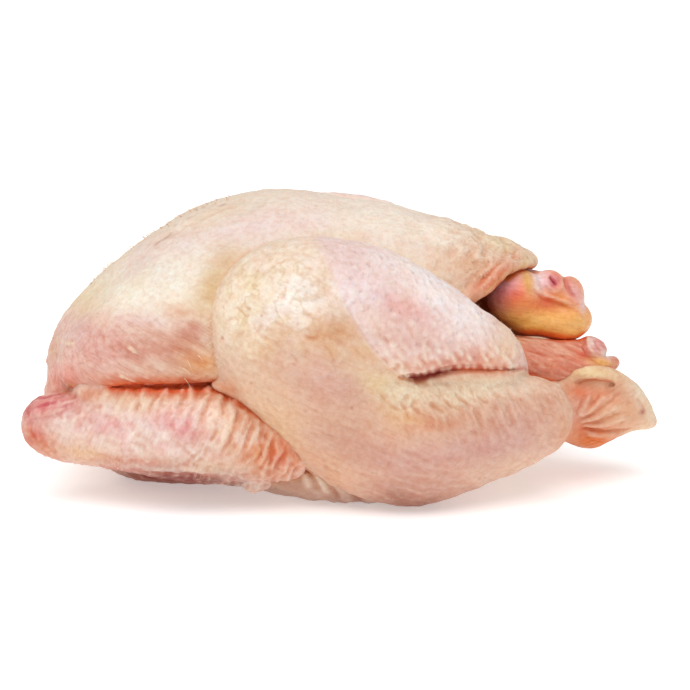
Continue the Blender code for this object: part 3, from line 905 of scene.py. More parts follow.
def trunk_paint(P, n, x, y, facing, close):
    w = 6 * fractal(P / 13, 3, 101)
    X, Y = x + w, y + 6 * fractal(P / 13 + 9.1, 3, 103)
    col = np.repeat(srgb(243, 224, 203)[None], len(P), 0)
    # darker, warmer skin towards the floor: the underside, the back of the body and the neck end
    col = tint(col, smoothstep(60, 20, P[:, 2]), srgb(226, 190, 166), 0.9)
    col = painted(col, X, Y, TRUNK_TONES)
    tail = smoothstep(94, 99, P[:, 0]) * smoothstep(62, 54, P[:, 2])
    t = painted(np.repeat(srgb(228, 172, 138)[None], len(P), 0), x + 0.3 * w, y + 0.3 * w, TAIL_TONES)
    col = col * (1 - tail[:, None]) + t * tail[:, None]
    # slanting streaks of the feather tracts
    low = smoothstep(300, 345, y) * smoothstep(260, 210, x) * (1 - tail)
    col = col * (1 - (0.10 * low * smoothstep(0.0, 0.8, streaks(P, 24, 10, 1.7, 105)))[:, None] * np.array([0.4, 1.3, 1.5]))
    col = mottled(col, P, 107)
    col = col * (1 - 0.05 * smoothstep(330, 270, y) * smoothstep(330, 250, x))[:, None]
    # painted shade: thin broken brown lines in the groove along the keel
    sx, sy = wobble(P, x, y, 1.5, 4)
    broken = smoothstep(-0.2, 0.4, noise(P / 3, 95))
    for pts, k in ((((153, 246), (164, 239), (174, 234)), 0.6), (((166, 232), (180, 224), (196, 217)), 0.45), (((216, 208), (230, 201), (246, 195)), 0.6)):
        col = tint(col, fold(sx, sy, pts, 1.0, 1.0) * broken, srgb(176, 120, 92), k)
    for pts in (((60, 340), (68, 343), (76, 344)), ((118, 375), (126, 378), (137, 383)), ((128, 345), (133, 350), (137, 354))):
        col = tint(col, fold(x, y, pts, 1.5, 1.0) * facing, srgb(250, 226, 196), 0.9)
    col = tint(col, fold(x, y, ((474, 299), (487, 291), (497, 282), (505, 275), (516, 268), (526, 266), (533, 264)), 2.2, 1.0), srgb(240, 196, 146), 0.7)
    col = tint(col, fold(x, y, ((476, 301), (489, 293.5), (499, 284.5), (507, 277.5), (518, 270.5), (528, 268.5)), 1.7, 1.0), srgb(226, 92, 48), 0.85)
    # painted shade: a red-brown line in the crease under the tail's rim
    col = tint(col, fold(x, y, ((575, 384.5), (585, 381.2), (595, 379.8), (606, 380.8), (615, 383.5)), 1.5, 1.0) * facing, srgb(206, 104, 62), 0.85)
    # painted shade: red and orange deep between the limbs, where the masses come close
    col = tint(col, smoothstep(0.04, 0.45, close), srgb(230, 176, 130), 0.35)
    col = tint(col, smoothstep(0.35, 0.90, close), srgb(228, 156, 112), 0.6)
    col = tint(col, smoothstep(0.78, 1.0, close), srgb(232, 124, 74), 0.75)
    # painted shade: orange and red along the deep line where the breast overhangs the wing
    deep = crevice(P)
    col = tint(col, smoothstep(5.0, 0.8, deep), srgb(226, 116, 70), 0.8)
    col = tint(col, smoothstep(1.2, 0.0, deep), srgb(246, 112, 58), 0.95)
    # the raw inside behind the belly skin's edge, painted dark crimson: raw flesh with painted shade of the open body
    inside = smoothstep(-1.4, -3.0, body(P)) * smoothstep(47, 51, P[:, 2]) * (P[:, 0] > 30) * smoothstep(-0.3, 0.9, limb(P, VENT_EDGE, k=2.0))
    inside = inside * smoothstep(0.8, 2.2, limb(P, TAIL_RIM, k=2.0))
    return tint(col, inside, srgb(104, 22, 18), 0.97)


LEG_TONES = (
    (275, 282, 62, 42, -20, (245, 229, 208), 0.95),
    (300, 300, 34, 24, 10, (247, 236, 226), 0.9),
    (305, 262, 28, 14, 10, (245, 232, 220), 0.7),
    (245, 290, 14, 26, 20, (240, 220, 182), 0.7),
    (240, 318, 18, 20, 0, (247, 230, 196), 0.8),
    (252, 346, 20, 16, 0, (240, 214, 172), 0.8),
    (222, 320, 10, 40, 0, (246, 226, 202), 0.8),
    (322, 336, 32, 10, -12, (216, 162, 118), 0.9),
    (345, 330, 14, 9, -20, (222, 170, 128), 0.8),
    (330, 354, 12, 12, 20, (226, 178, 130), 0.7),
    (362, 352, 14, 8, 30, (230, 186, 142), 0.8),
    (296, 345, 24, 7, 10, (234, 196, 164), 0.6),
    (296, 376, 52, 26, 10, (226, 184, 162), 0.85),
    (335, 388, 42, 24, 20, (220, 170, 154), 0.85),
    (262, 398, 26, 34, -30, (236, 198, 166), 0.8),
    (282, 432, 22, 30, -30, (238, 200, 158), 0.8),
    (380, 385, 26, 12, 35, (238, 210, 164), 0.9),
    (412, 394, 34, 14, 4, (248, 232, 200), 0.95),
    (456, 389, 34, 12, -4, (243, 222, 190), 0.9),
    (498, 389, 44, 12, -2, (250, 236, 214), 0.95),
    (440, 420, 60, 15, -4, (216, 160, 130), 0.8),
    (400, 420, 24, 10, 10, (234, 196, 160), 0.7),
    (430, 428, 34, 5, -6, (222, 146, 112), 0.45),
    (520, 420, 46, 26, -12, (220, 170, 150), 0.85),
    (548, 404, 18, 22, 10, (224, 172, 146), 0.8),
    (470, 450, 84, 20, -10, (216, 166, 156), 0.9),
    (385, 458, 74, 22, 16, (214, 162, 150), 0.9),
    (345, 440, 44, 24, 34, (214, 164, 140), 0.8),
    # painted shade: the leg darker along its bottom, by the floor
    (420, 490, 90, 12, 0, (204, 150, 134), 0.8),
    (410, 501, 50, 7, 2, (168, 106, 86), 0.95),
    (330, 470, 36, 12, 40, (226, 172, 140), 0.8),
    (568, 434, 10, 18, 10, (228, 160, 118), 0.8),
    (452, 404, 8, 5, 60, (246, 226, 190), 0.5),
    (430, 421, 22, 4, 10, (218, 140, 104), 0.5),
    (400, 415, 20, 5, 20, (236, 196, 148), 0.6),
)

DRUM_TONES = (
    (352, 260, 44, 22, 20, (230, 200, 198), 0.9),
    (395, 262, 44, 12, 18, (245, 226, 222), 0.9),
    (358, 296, 26, 32, 60, (244, 228, 228), 0.85),
    # painted highlight: a pale band on the drumstick's upper right
    (440, 296, 52, 17, 40, (251, 240, 240), 0.95),
    (475, 318, 24, 16, 45, (250, 236, 234), 0.85),
    (400, 309, 27, 13, 22, (234, 178, 172), 0.85),
    (420, 318, 22, 9, 30, (232, 180, 174), 0.6),
    (385, 330, 22, 14, 50, (234, 198, 186), 0.8),
    (420, 343, 50, 12, 12, (232, 190, 180), 0.85),
    (436, 364, 56, 7, -4, (222, 154, 130), 0.8),
    (488, 360, 26, 11, 0, (226, 150, 120), 0.75),
    (508, 345, 16, 26, 0, (240, 206, 178), 0.9),
    (500, 322, 12, 12, 40, (238, 210, 196), 0.7),
    (400, 366, 16, 8, 30, (234, 186, 152), 0.7),
    (424, 393, 30, 11, -3, (246, 226, 190), 0.45),
)


def leg_paint(P, n, x, y, facing, close):
    w = 6 * fractal(P / 10, 3, 121)
    u = 6 * fractal(P / 10 + 7.7, 3, 123)
    dist, t, drum = leg_regions(x + 0.15 * w, y)
    thigh = np.repeat(srgb(236, 200, 173)[None], len(P), 0)
    thigh = painted(thigh, x + w, y + u, LEG_TONES)
    # creamy blotches on the knee with ochre between them
    knee = patch(x, y, 282, 298, 66, 56)
    blotch = smoothstep(-0.15, 0.35, fractal(P / 8.5, 3, 125))
    thigh = tint(thigh, knee * blotch, srgb(253, 245, 238), 0.62)
    thigh = tint(thigh, knee * smoothstep(0.1, 0.5, fractal(P / 6 + 4, 3, 127)), srgb(236, 208, 160), 0.40)
    crease = smoothstep(0.80, 0.95, ridged(fractal(warped(P, 185, 5.0) / 10, 2, 128)))
    thigh = tint(thigh, np.minimum(1, 1.3 * knee) * crease, srgb(214, 172, 124), 0.40)
    drumskin = painted(np.repeat(srgb(246, 221, 216)[None], len(P), 0), x + 0.6 * w, y + 0.6 * u, DRUM_TONES)
    # painted highlight: the swollen beads along the drumstick's edge tinted paler
    drumskin = tint(drumskin, np.clip(1.4 * teeth(x, y), 0, 1), srgb(248, 224, 204), 0.75)
    drumskin = tint(drumskin, pimples(P, 3.9, 1.0, 31) * smoothstep(340, 360, x), srgb(248, 232, 222), 0.45)
    col = thigh * (1 - drum[:, None]) + drumskin * drum[:, None]
    # streaks down the thigh
    side = patch(x, y, 490, 410, 80, 40) * (1 - drum)
    col = col * (1 - (0.10 * side * smoothstep(0, 0.8, streaks(P, 82, 14, 2.2, 129)))[:, None] * np.array([0.5, 1.2, 1.4]))
    col = mottled(col, P, 131)
    # painted shade: red-orange on the fold's lips and near-black in the depth between them
    lip = np.exp(-(dist / 4.5) ** 2) * smoothstep(0.52, 0.66, t) * facing
    col = tint(col, lip * drum * (1 - np.clip(teeth(x, y), 0, 1)), srgb(206, 104, 68), 0.8)
    along = smoothstep(0.50, 0.57, t) * smoothstep(0.95, 0.80, t) * facing
    col = tint(col, np.exp(-(dist / (3.6 + 2.4 * drum)) ** 2) * along, srgb(222, 92, 48), 0.85)
    deep = np.exp(-(dist / (3.9 - 2.4 * smoothstep(0.66, 0.84, t))) ** 4) * along
    right = smoothstep(0.68, 0.80, t)
    col = tint(col, deep * (1 - right), srgb(136, 18, 3), 0.98)
    col = tint(col, deep * right, srgb(242, 120, 72), 0.9)
    for cx, cy in ((251, 383), (293, 364), (222, 338), (388, 464), (479, 478), (352, 408), (305, 411), (262, 316)):
        col = tint(col, np.exp(-(((x - cx) / 1.3) ** 2 + ((y - cy) / 1.5) ** 2)) * facing, srgb(190, 118, 96), 0.7)
    web = patch(x, y, 226, 389, 14, 7, 24)
    col = tint(col, web * facing, srgb(232, 156, 116), 0.75)
    # painted shade: orange deep between the leg and its neighbours
    col = tint(col, smoothstep(0.35, 0.90, close), srgb(232, 166, 122), 0.6)
    return tint(col, smoothstep(0.78, 1.0, close), srgb(232, 124, 74), 0.75)


WING_TONES = (
    (150, 428, 50, 16, 6, (240, 218, 212), 0.9),
    (120, 402, 60, 9, 4, (243, 212, 182), 0.85),
    (190, 396, 60, 8, 6, (230, 168, 128), 0.75),
    (66, 430, 14, 12, 0, (240, 212, 198), 0.7),
    (94, 420, 18, 12, 10, (234, 184, 178), 0.85),
    (190, 426, 32, 14, 12, (222, 130, 138), 0.92),
    (150, 440, 24, 8, 0, (230, 200, 190), 0.7),
    (225, 428, 24, 24, 60, (250, 222, 198), 0.9),
    (236, 450, 22, 16, 40, (230, 190, 166), 0.8),
    (268, 453, 28, 28, 40, (228, 134, 66), 0.9),
    (280, 457, 11, 15, 30, (216, 92, 30), 0.85),
    (296, 462, 8, 10, 40, (230, 150, 104), 0.8),
    (250, 418, 16, 22, -40, (226, 158, 116), 0.8),
    (46, 404, 26, 9, -14, (226, 122, 128), 0.75),
    (36, 410, 10, 8, 0, (210, 90, 96), 0.6),
    (66, 396, 18, 5, 0, (216, 116, 110), 0.8),
    (35, 433, 13, 15, 0, (206, 80, 50), 0.95),
    (48, 446, 20, 9, 30, (214, 110, 70), 0.92),
    (80, 452, 30, 8, 12, (234, 190, 148), 0.8),
    (140, 461, 50, 5, 4, (220, 144, 116), 0.8),
    (210, 466, 50, 6, 4, (234, 204, 180), 0.8),
    # painted shade: near-black red under the wing's lower edge
    (180, 480, 80, 11, 3, (128, 26, 6), 0.98),
    (120, 470, 24, 5, 10, (206, 124, 112), 0.8),
    (256, 484, 14, 6, 0, (234, 206, 194), 0.95),
)


def wing_paint(P, n, x, y, facing, close):
    w = 4 * fractal(P / 8, 3, 141)
    u = 4 * fractal(P / 8 + 7.7, 3, 143)
    col = np.repeat(srgb(239, 207, 193)[None], len(P), 0)
    col = painted(col, x + w, y + u, WING_TONES)
    # painted highlight on the raised folds, painted shade in the sunk folds and between the streaks
    ridge = np.clip(drawn(*wobble(P, x, y, 3.0, 6.0), WING_FOLDS, 0.35), -1, 1)
    col = tint(col, np.clip(ridge, 0, 1), srgb(246, 222, 204), 0.25)
    col = tint(col, np.clip(-ridge, 0, 1) * facing, srgb(214, 132, 104), 0.4)
    gap = smoothstep(0.1, 0.9, -ridged(streaks(P, 118, 9, 3.4, 55, 0.7)))
    col = tint(col, gap, srgb(222, 150, 128), 0.35)
    col = tint(col, pimples(P, 3.3, 0.9, 57), srgb(246, 222, 196), 0.35)
    # white and pink marbling on the smooth middle, orange towards the elbow
    middle = patch(x, y, 145, 430, 105, 24, 6)
    col = tint(col, middle * smoothstep(0.0, 0.45, fractal(P / 7, 3, 151)), srgb(250, 240, 236), 0.6)
    col = tint(col, middle * smoothstep(0.05, 0.45, fractal(P / 8 + 3.3, 3, 153)), srgb(230, 152, 156), 0.5)
    elbow = patch(x, y, 266, 448, 40, 32, 50)
    col = tint(col, elbow * smoothstep(0.0, 0.6, -ridged(streaks(P, 118, 8, 3.0, 155, 0.8))), srgb(212, 112, 52), 0.6)
    wrist = patch(x, y, 46, 404, 36, 15, -10)
    col = tint(col, wrist * smoothstep(-0.25, 0.35, streaks(P, -14, 10, 1.5, 145)), srgb(190, 46, 72), 0.75)
    col = mottled(col, P, 147, 1.3)
    # painted shade: orange along the wing's top edge below the crevice, paler on the crests
    top = np.exp(-((y - 393 - 4 * smoothstep(210, 250, x) + 3 * fractal(P / 6, 2, 149)) / 7) ** 2) * smoothstep(60, 90, x) * facing
    crest = drawn(*wobble(P, x, y, 3.0, 5.0), [(((a + 3, b - 6), (a - 4, b + 10)), 3.4, 1.0) for a, b in WING_SPIKES], 0.1)
    col = tint(col, top * (1 - np.clip(crest, 0, 1)), srgb(226, 136, 92), 0.55)
    col = tint(col, top * np.clip(crest, 0, 1), srgb(240, 194, 154), 0.6)
    # painted shade: orange and red along the crevice under the breast
    deep = crevice(P)
    col = tint(col, smoothstep(3.0, 0.8, deep), srgb(222, 124, 80), 0.7)
    col = tint(col, smoothstep(1.0, 0.0, deep), srgb(240, 106, 56), 0.95)
    # painted shade: orange deep between the wing and its neighbours
    col = tint(col, smoothstep(0.35, 0.90, close), srgb(226, 132, 84), 0.65)
    return tint(col, smoothstep(0.78, 1.0, close), srgb(226, 112, 60), 0.8)


FAR_HOCK_TONES = (
    (540, 280, 11, 14, 0, (250, 244, 250), 0.95),
    (553, 281, 10, 9, 35, (226, 126, 150), 0.9),
    (554, 281, 4, 5, 35, (202, 70, 90), 0.8),
    (575, 292, 9, 16, -25, (232, 168, 170), 0.95),
    (568, 284, 4, 8, 0, (222, 130, 132), 0.8),
    (583, 306, 4, 12, 0, (240, 206, 204), 0.8),
    (523, 273, 8, 8, 0, (242, 206, 162), 0.9),
    (504, 290, 20, 25, 24, (255, 168, 174), 0.99),
    (514, 300, 11, 11, 0, (255, 116, 84), 0.85),
    (510, 280, 8, 6, -30, (255, 190, 196), 0.7),
    (528, 281, 4.5, 14, -14, (232, 178, 84), 0.9),
    # painted shade: deep red in the gap between the hock and the belly skin's edge
    (487, 311, 9, 10, 0, (214, 50, 44), 0.9),
    (530, 305, 24, 8, 6, (240, 136, 66), 0.8),
    (547, 303, 13, 8, 10, (236, 106, 62), 0.95),
    (532, 325, 44, 12, 8, (255, 206, 106), 0.95),
    (560, 322, 26, 9, 10, (252, 196, 118), 0.85),
    (578, 322, 10, 8, 0, (238, 186, 112), 0.8),
    (500, 326, 16, 8, 20, (228, 118, 56), 0.8),
)


def far_hock_paint(P, n, x, y, facing, close):
    w = 1.5 * fractal(P / 5, 3, 161)
    col = np.repeat(srgb(250, 172, 100)[None], len(P), 0)
    col = painted(col, x + w, y + w, FAR_HOCK_TONES)
    # painted shade: dark crimson in the slit between the condyles
    slit = fold(x, y, ((549, 275), (553, 280), (558, 286)), 1.2, 1.0)
    col = tint(col, slit, srgb(150, 24, 50), 0.8)
    streak = smoothstep(0.0, 0.8, streaks(P, 8, 8, 1.1, 163))
    col = col * (1 - 0.10 * streak[:, None] * np.array([0.3, 1.2, 1.5]))
    # painted shade: orange where the hock meets its neighbours
    col = tint(col, smoothstep(0.45, 1.0, close) * np.maximum(smoothstep(300, 320, y), smoothstep(286, 274, y)), srgb(240, 116, 50), 0.7)
    col = tint(col, smoothstep(0.78, 1.0, close), srgb(255, 138, 62), 0.9)
    return mottled(col, P, 165, 1.2)


NEAR_HOCK_TONES = (
    (598, 346, 9, 10, 0, (224, 142, 144), 0.9),
    (591, 344, 5, 12, 15, (246, 232, 226), 0.85),
    (605, 354, 8, 6, 30, (242, 222, 214), 0.8),
    (600, 363, 18, 5.5, 20, (240, 184, 104), 0.95),
    (584, 353, 9, 7, 0, (222, 84, 58), 0.85),
    (576, 345, 10, 10, 0, (230, 150, 124), 0.7),
    (535, 340, 30, 8, 12, (228, 160, 134), 0.9),
    (540, 356, 34, 8, 14, (226, 144, 118), 0.9),
    (515, 336, 12, 7, 20, (214, 150, 110), 0.8),
    (550, 368, 20, 6, 10, (232, 142, 110), 0.85),
    (560, 330, 26, 5, 4, (222, 120, 90), 0.7),
)


def near_hock_paint(P, n, x, y, facing, close):
    w = 1.5 * fractal(P / 5, 3, 171)
    col = np.repeat(srgb(224, 144, 116)[None], len(P), 0)
    col = painted(col, x + w, y + w, NEAR_HOCK_TONES)
    streak = smoothstep(0.1, 0.8, streaks(P, 24, 14, 1.2, 173))
    col = col * (1 - 0.16 * streak[:, None] * np.array([0.4, 1.2, 1.3]))
    pale = smoothstep(0.15, 0.7, streaks(P, 26, 12, 1.1, 179))
    col = tint(col, pale * smoothstep(590, 575, x), srgb(246, 200, 172), 0.45)
    # painted shade: orange where the hock meets its neighbours
    col = tint(col, smoothstep(0.40, 1.0, close), srgb(238, 116, 66), 0.7)
    col = tint(col, smoothstep(0.78, 1.0, close), srgb(255, 130, 76), 0.9)
    return mottled(col, P, 175, 1.2)


# ----------------------------------------------------------- building the bird
def trunk_marks(P, x, y, facing):
    """How strong the fine lines, the feather places and the wrinkles are."""
    tail = smoothstep(94, 99, P[:, 0]) * smoothstep(62, 54, P[:, 2])
    breast = smoothstep(270, 200, x)
    low = breast * smoothstep(300, 335, y)
    end = smoothstep(400, 480, x) * (1 - tail)
    return np.stack([0.10 + 0.14 * breast + 0.50 * low, 0.28 + 0.5 * end - 0.2 * tail, 0.05 + 0.60 * end + 0.3 * tail], 1)


def leg_marks(P, x, y, facing):
    d, t, drum = leg_regions(x, y)
    drum = drum * facing
    return np.stack([0.34 - 0.28 * drum, 0.42 + 0.25 * drum, 0.04 + 0.20 * drum + 0.75 * patch(x, y, 475, 402, 95, 30) * (1 - drum)], 1)


def wing_marks(P, x, y, facing):
    return np.stack([np.full(len(P), 0.45), np.full(len(P), 0.4), patch(x, y, 44, 404, 36, 16, -10)], 1)


def hock_marks(P, x, y, facing):
    return np.repeat(np.array([[0.7, 0.1, 0.5]]), len(P), 0)


MARKS = dict(trunk_skin=trunk_marks, tail_skin=trunk_marks, leg_right=leg_marks, wing_right=wing_marks, hock_left=hock_marks, hock_right=hock_marks)


def others(*solids):
    def f(P):
        d = None
        for s in solids:
            e = s(P)
            d = e if d is None else np.minimum(d, e)
        return d
    return f


far_leg = lambda P: leg(mirror(P) + np.asarray(FAR_LEG_SHIFT * (-1, 1, -1), P.dtype))
far_wing = lambda P: wing(mirror(P))

pieces = []
KEPT = {}
SPEC = [
    ("trunk_skin", trunk_piece, (-140, -68, -4), (102, 68, 138), 1.24, trunk_relief, trunk_paint, others(leg, far_leg, wing, far_wing, far_hock, near_hock)),
    ("tail_skin", tail_piece, (92, -32, 4), (150, 28, 64), 0.7, trunk_relief, trunk_paint, others(leg, far_leg, near_hock)),
    ("leg_right", leg, (-62, -92, -4), (110, -12, 124), 0.8, leg_relief, leg_paint, others(trunk, leg, wing, near_hock)),
    ("wing_right", wing, (-144, -78, 2), (-4, -12, 76), 0.75, wing_relief, wing_paint, others(trunk, leg)),
    ("hock_left", far_hock, (38, -27, 56), (120, 38, 106), 0.7, far_hock_relief, far_hock_paint, others(trunk, leg, near_hock)),
    ("hock_right", near_hock, (50, -46, 38), (126, 8, 78), 0.7, near_hock_relief, near_hock_paint, others(trunk, leg, far_hock)),
]
for name, solid, lo, hi, h, relief, paint, around in SPEC:
    v, q, col, marks = skin_piece(name, solid, lo, hi, h, relief, paint, around)
    pieces.append(to_object(name, v, q, col, marks))
    if name in ("trunk_skin", "leg_right", "wing_right"):
        KEPT[name] = (v, slope(solid, v))
    if name == "leg_right":
        # the far leg lies a little higher, so less of its inner side is in the groove: the painted shade copied from
        # the near leg is lightened there
        w = v * (1, -1, 1) + FAR_LEG_SHIFT
        inner = smoothstep(-0.15, 0.30, KEPT[name][1][:, 1]) * smoothstep(58, 70, v[:, 2])
        pieces.append(to_object("leg_left", w, q, tint(col, inner, srgb(245, 224, 206), 0.75), marks, flip=True))
    if name == "wing_right":
        pieces.append(to_object("wing_left", v * (1, -1, 1), q, col, marks, flip=True))
    print(name, len(v), len(q) * 2, "triangles", round(time.time() - T0, 1), "s")


# -------------------------------------------------- strands left from plucking
def strand(root, way, droop, length, thick, rng):
    """One thin tapering hair as a closed four-sided tube."""
    steps = 5
    side = np.cross(way, droop)
    side = side / (np.linalg.norm(side) + 1e-9)
    up = np.cross(side, way)
    bend = rng.normal(0, 0.25, 2)
    rings = []
    for k in range(steps + 1):
        t = k / steps
        at = root + way * length * t + (droop * (0.35 + bend[0]) + side * bend[1]) * length * t * t
        r = thick * (1 - 0.85 * t)
        rings += [at + side * r, at + up * r, at - side * r, at - up * r]
    quads = [(3, 2, 1, 0), tuple(4 * steps + j for j in range(4))]
    for k in range(steps):
        for j in range(4):
            a, b = 4 * k + j, 4 * k + (j + 1) % 4
            quads.append((a, b, b + 4, a + 4))
    return np.array(rings), np.array(quads)


def strands(groups):
    rng = np.random.default_rng(7)
    V, Qd, C = [], [], []
    total = 0
    for v, n, pick, count, way, lean, length, thick, colour in groups:
        at = np.nonzero(pick)[0]
        for i in rng.choice(at, min(count, len(at)), replace=False):
            d = n[i] * lean + np.asarray(way) + rng.normal(0, 0.22, 3)
            d = d / np.linalg.norm(d)
            r, q = strand(v[i] - n[i] * 0.3, d, np.array([0, 0, -1.0]), length * rng.uniform(0.6, 1.3), thick * rng.uniform(0.8, 1.2), rng)
            V.append(r)
            Qd.append(q + total)
            C.append(np.repeat((srgb(*colour) * rng.uniform(0.85, 1.05))[None], len(r), 0))
            total += len(r)
    return np.concatenate(V), np.concatenate(Qd), np.clip(np.concatenate(C), 0, 1)


def near_spots(v, n, spots, reach):
    """Marks the points that show near the given places of the picture."""
    x, y = pic(v)
    seen = -(n @ AHEAD)
    out = np.zeros(len(v), bool)
    for a, b in spots:
        out |= (np.hypot(x - a, y - b) < reach) & (seen > -0.15) & (seen < 0.75)
    return out


CREAM, TAN = (250, 232, 206), (206, 158, 122)
tv, tn = KEPT["trunk_skin"]
lv, ln = KEPT["leg_right"]
wv, wn = KEPT["wing_right"]
tx, ty = pic(tv)
lx, ly = pic(lv)
keel = (np.abs(tv[:, 1]) < 10) & (tv[:, 0] > -112) & (tv[:, 0] < -48) & (tv[:, 2] > 88)
low_breast = (tv[:, 1] < -20) & (tx > 60) & (tx < 205) & (ty > 330) & (ty < 382)
upper_drum = (np.abs(lx - 430) < 90) & (-(ln @ AHEAD) < 0.35) & (-(ln @ AHEAD) > -0.1) & (lv[:, 2] > 70)
groups = (
    (tv, tn, keel, 60, (-0.5, 0, 0.4), 0.8, 3.0, 0.13, TAN),
    (tv, tn, keel, 36, (-0.6, 0, 0.1), 0.5, 4.2, 0.13, CREAM),
    (tv, tn, low_breast, 16, (0.8, -0.1, -0.4), 0.25, 4.0, 0.14, CREAM),
    (lv, ln, near_spots(lv, ln, ((214, 318), (211, 330), (213, 342), (216, 352), (220, 362), (222, 296)), 5), 20, (-0.7, -0.2, 0.15), 0.7, 2.8, 0.13, CREAM),
    (lv, ln, upper_drum, 26, (0.4, 0, 0.3), 0.8, 1.2, 0.14, (250, 226, 214)),
    (wv, wn, near_spots(wv, wn, ((32, 402), (44, 396), (26, 420), (58, 392)), 6), 16, (-0.7, 0, 0.3), 0.7, 2.2, 0.12, (238, 190, 184)),
    (wv, wn, near_spots(wv, wn, ((80, 456), (120, 463), (250, 484), (200, 470), (268, 482)), 7), 16, (-0.2, -0.3, -0.5), 0.7, 2.0, 0.13, (246, 216, 196)),
)
sv, sq, scol = strands(groups)
pieces.append(to_object("down_strands", sv, sq, scol, np.zeros((len(sv), 3))))
print("down_strands", len(sv), len(sq) * 2, "triangles")


# --------------------------------------------------------------- the materials
def skin_material(name, rough, spread, weight, bumps, ways):
    """Skin over fat: painted tone, fine lines along the feather tracts, pores,
    and light that sinks in a little way."""
    mat = bpy.data.materials.new(name)
    mat.use_nodes = True
    nt = mat.node_tree
    new, link = nt.nodes.new, nt.links.new
    b = nt.nodes["Principled BSDF"]
    tone = new("ShaderNodeAttribute")
    tone.attribute_name = "skin"
    marks = new("ShaderNodeAttribute")
    marks.attribute_name = "marks"
    split = new("ShaderNodeSeparateColor")
    link(marks.outputs["Color"], split.inputs["Color"])
    place = new("ShaderNodeTexCoord")

    def clouds(scale, detail, roughness=0.55):
        t = new("ShaderNodeTexNoise")
        t.inputs["Scale"].default_value = scale
        t.inputs["Detail"].default_value = detail
        t.inputs["Roughness"].default_value = roughness
        link(place.outputs["Object"], t.inputs["Vector"])
        return t.outputs["Fac"]

    def lines(degrees, length, width):
        m = new("ShaderNodeMapping")
        m.vector_type = 'TEXTURE'
        m.inputs["Rotation"].default_value = (0, math.radians(degrees), 0)
        m.inputs["Scale"].default_value = (length, width * 1.5, width)
        link(place.outputs["Object"], m.inputs["Vector"])
        t = new("ShaderNodeTexNoise")
        t.inputs["Scale"].default_value = 1.0
        t.inputs["Detail"].default_value = 2.0
        t.inputs["Distortion"].default_value = 0.35
        link(m.outputs["Vector"], t.inputs["Vector"])
        return t.outputs["Fac"]

    def ramp(value, low, high, dark):
        r = new("ShaderNodeValToRGB")
        r.color_ramp.elements[0].position = low
        r.color_ramp.elements[0].color = (*dark, 1)
        r.color_ramp.elements[1].position = high
        r.color_ramp.elements[1].color = (1, 1, 1, 1)
        link(value, r.inputs["Fac"])
        return r.outputs["Color"]

    def times(a, colour, amount, mask=None):
        m = new("ShaderNodeMix")
        m.data_type = 'RGBA'
        m.blend_type = 'MULTIPLY'
        if mask is None:
            m.inputs[0].default_value = amount
        else:
            k = new("ShaderNodeMath")
            k.operation = 'MULTIPLY'
            k.inputs[1].default_value = amount
            link(mask, k.inputs[0])
            link(k.outputs[0], m.inputs[0])
        link(a, m.inputs[6])
        link(colour, m.inputs[7])
        return m.outputs[2]

    fine = clouds(460, 4, 0.62)
    blotch = clouds(95, 5, 0.6)
    broad = clouds(120, 3)
    dots = new("ShaderNodeTexVoronoi")
    dots.inputs["Scale"].default_value = 270
    dots.inputs["Randomness"].default_value = 0.8
    link(place.outputs["Object"], dots.inputs["Vector"])
    one = lines(ways[0], 0.008, 0.0010)
    two = lines(ways[1], 0.007, 0.0012)

    col = times(tone.outputs["Color"], ramp(fine, 0.34, 0.60, (0.88, 0.76, 0.70)), 0.60)
    col = times(col, ramp(blotch, 0.36, 0.58, (0.95, 0.86, 0.80)), 0.55)
    col = times(col, ramp(one, 0.36, 0.54, (0.84, 0.66, 0.62)), 0.62, split.outputs["Red"])
    col = times(col, ramp(two, 0.36, 0.54, (0.86, 0.68, 0.60)), 0.55, split.outputs["Blue"])
    col = times(col, ramp(dots.outputs["Distance"], 0.02, 0.15, (0.86, 0.66, 0.56)), 0.45, split.outputs["Green"])
    link(col, b.inputs["Base Color"])

    gloss = new("ShaderNodeMapRange")
    gloss.inputs["To Min"].default_value = rough - 0.10
    gloss.inputs["To Max"].default_value = rough + 0.12
    link(broad, gloss.inputs["Value"])
    link(gloss.outputs["Result"], b.inputs["Roughness"])

    dome = new("ShaderNodeMapRange")
    dome.inputs["From Min"].default_value = 0.0
    dome.inputs["From Max"].default_value = 0.38
    dome.inputs["To Min"].default_value = 1.0
    dome.inputs["To Max"].default_value = 0.0
    dome.interpolation_type = 'SMOOTHSTEP'
    link(dots.outputs["Distance"], dome.inputs["Value"])

    def masked(value, mask):
        k = new("ShaderNodeMath")
        k.operation = 'MULTIPLY'
        link(value, k.inputs[0])
        link(mask, k.inputs[1])
        return k.outputs[0]

    normal = None
    for height, strength, distance in ((masked(dome.outputs["Result"], split.outputs["Green"]), 0.9, 0.0007), (fine, 0.7, 0.0008),
                                       (masked(one, split.outputs["Red"]), 0.7, 0.0011), (masked(two, split.outputs["Blue"]), 0.7, 0.0012)):
        bump = new("ShaderNodeBump")
        bump.inputs["Strength"].default_value = strength * bumps
        bump.inputs["Distance"].default_value = distance
        link(height, bump.inputs["Height"])
        if normal is not None:
            link(normal, bump.inputs["Normal"])
        normal = bump.outputs["Normal"]
    link(normal, b.inputs["Normal"])

    b.inputs["Subsurface Weight"].default_value = weight
    b.inputs["Subsurface Radius"].default_value = (1.0, 0.38, 0.22)
    b.inputs["Subsurface Scale"].default_value = spread
    b.inputs["Specular IOR Level"].default_value = 0.30
    return mat


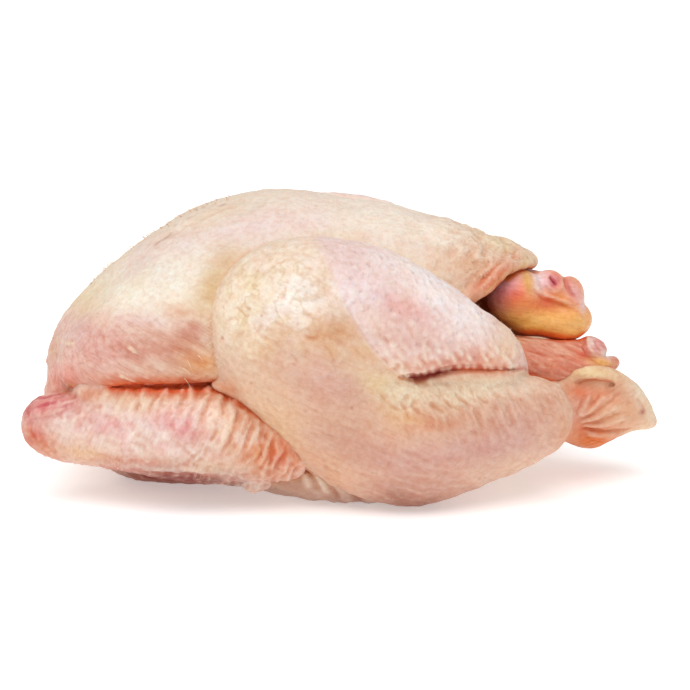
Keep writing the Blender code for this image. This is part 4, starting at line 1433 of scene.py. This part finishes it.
FINISH = dict(
    trunk=skin_material("skin_of_the_body", 0.48, 0.0022, 0.16, 1.0, (28, -38)),
    tail=skin_material("skin_of_the_tail", 0.46, 0.0022, 0.16, 1.0, (28, -24)),
    leg=skin_material("skin_of_the_legs", 0.46, 0.0022, 0.16, 1.0, (24, 62)),
    wing=skin_material("skin_of_the_wings", 0.46, 0.0022, 0.16, 1.0, (114, -14)),
    hock=skin_material("joint_and_sinew", 0.32, 0.0025, 0.22, 0.5, (8, 24)),
    down=skin_material("down_and_hair", 0.50, 0.0006, 0.10, 0.0, (0, 0)))
for p in pieces:
    p.data.materials.append(FINISH[p.name.split("_")[0]])
    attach(p, "root")
    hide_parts("poularde")


# ------------------------------------------------------- floor, light, camera
def plain(name, colour, rough, glow):
    mat = bpy.data.materials.new(name)
    mat.use_nodes = True
    b = mat.node_tree.nodes["Principled BSDF"]
    b.inputs["Base Color"].default_value = (*colour, 1)
    b.inputs["Roughness"].default_value = rough
    b.inputs["Emission Color"].default_value = (1, 0.985, 0.98, 1)
    b.inputs["Emission Strength"].default_value = glow
    return mat


floor_mesh = bpy.data.meshes.new("floor")
floor_mesh.from_pydata([(-60, -60, 0), (60, -60, 0), (60, 60, 0), (-60, 60, 0)], [], [(0, 1, 2, 3)])
floor = bpy.data.objects.new("floor", floor_mesh)
bpy.context.scene.collection.objects.link(floor)
floor.data.materials.append(plain("pale_floor", (0.85, 0.855, 0.865), 0.7, 0.37))

scene = bpy.context.scene
scene.view_settings.view_transform = 'Standard'
world = bpy.data.worlds.new("studio")
scene.world = world
world.use_nodes = True
bg = world.node_tree.nodes["Background"]
bg.inputs["Color"].default_value = (1.0, 0.995, 0.99, 1)
bg.inputs["Strength"].default_value = 0.56


def sun(name, towards, strength, softness):
    light = bpy.data.lights.new(name, 'SUN')
    light.energy = strength
    light.angle = math.radians(softness)
    obj = bpy.data.objects.new(name, light)
    obj.rotation_euler = Vector(towards).to_track_quat('Z', 'Y').to_euler()
    scene.collection.objects.link(obj)


sun("softbox_above", (-0.14, -0.38, 0.92), 2.0, 60)

cam_data = bpy.data.cameras.new("photo_view")
cam_data.sensor_width = 36.0
cam_data.lens = FOCAL_PX / 690 * 36.0
cam_data.clip_start = 0.01
cam = bpy.data.objects.new("photo_view", cam_data)
target = Vector(((VIEW_TARGET[0] + ORIGIN_X) * MM, 0, VIEW_TARGET[2] * MM))
cam.location = target - Vector(AHEAD) * VIEW_DISTANCE * MM
cam.rotation_euler = (target - cam.location).to_track_quat('-Z', 'Y').to_euler()
scene.collection.objects.link(cam)
scene.camera = cam

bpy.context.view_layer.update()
print("script", round(time.time() - T0, 1), "s")
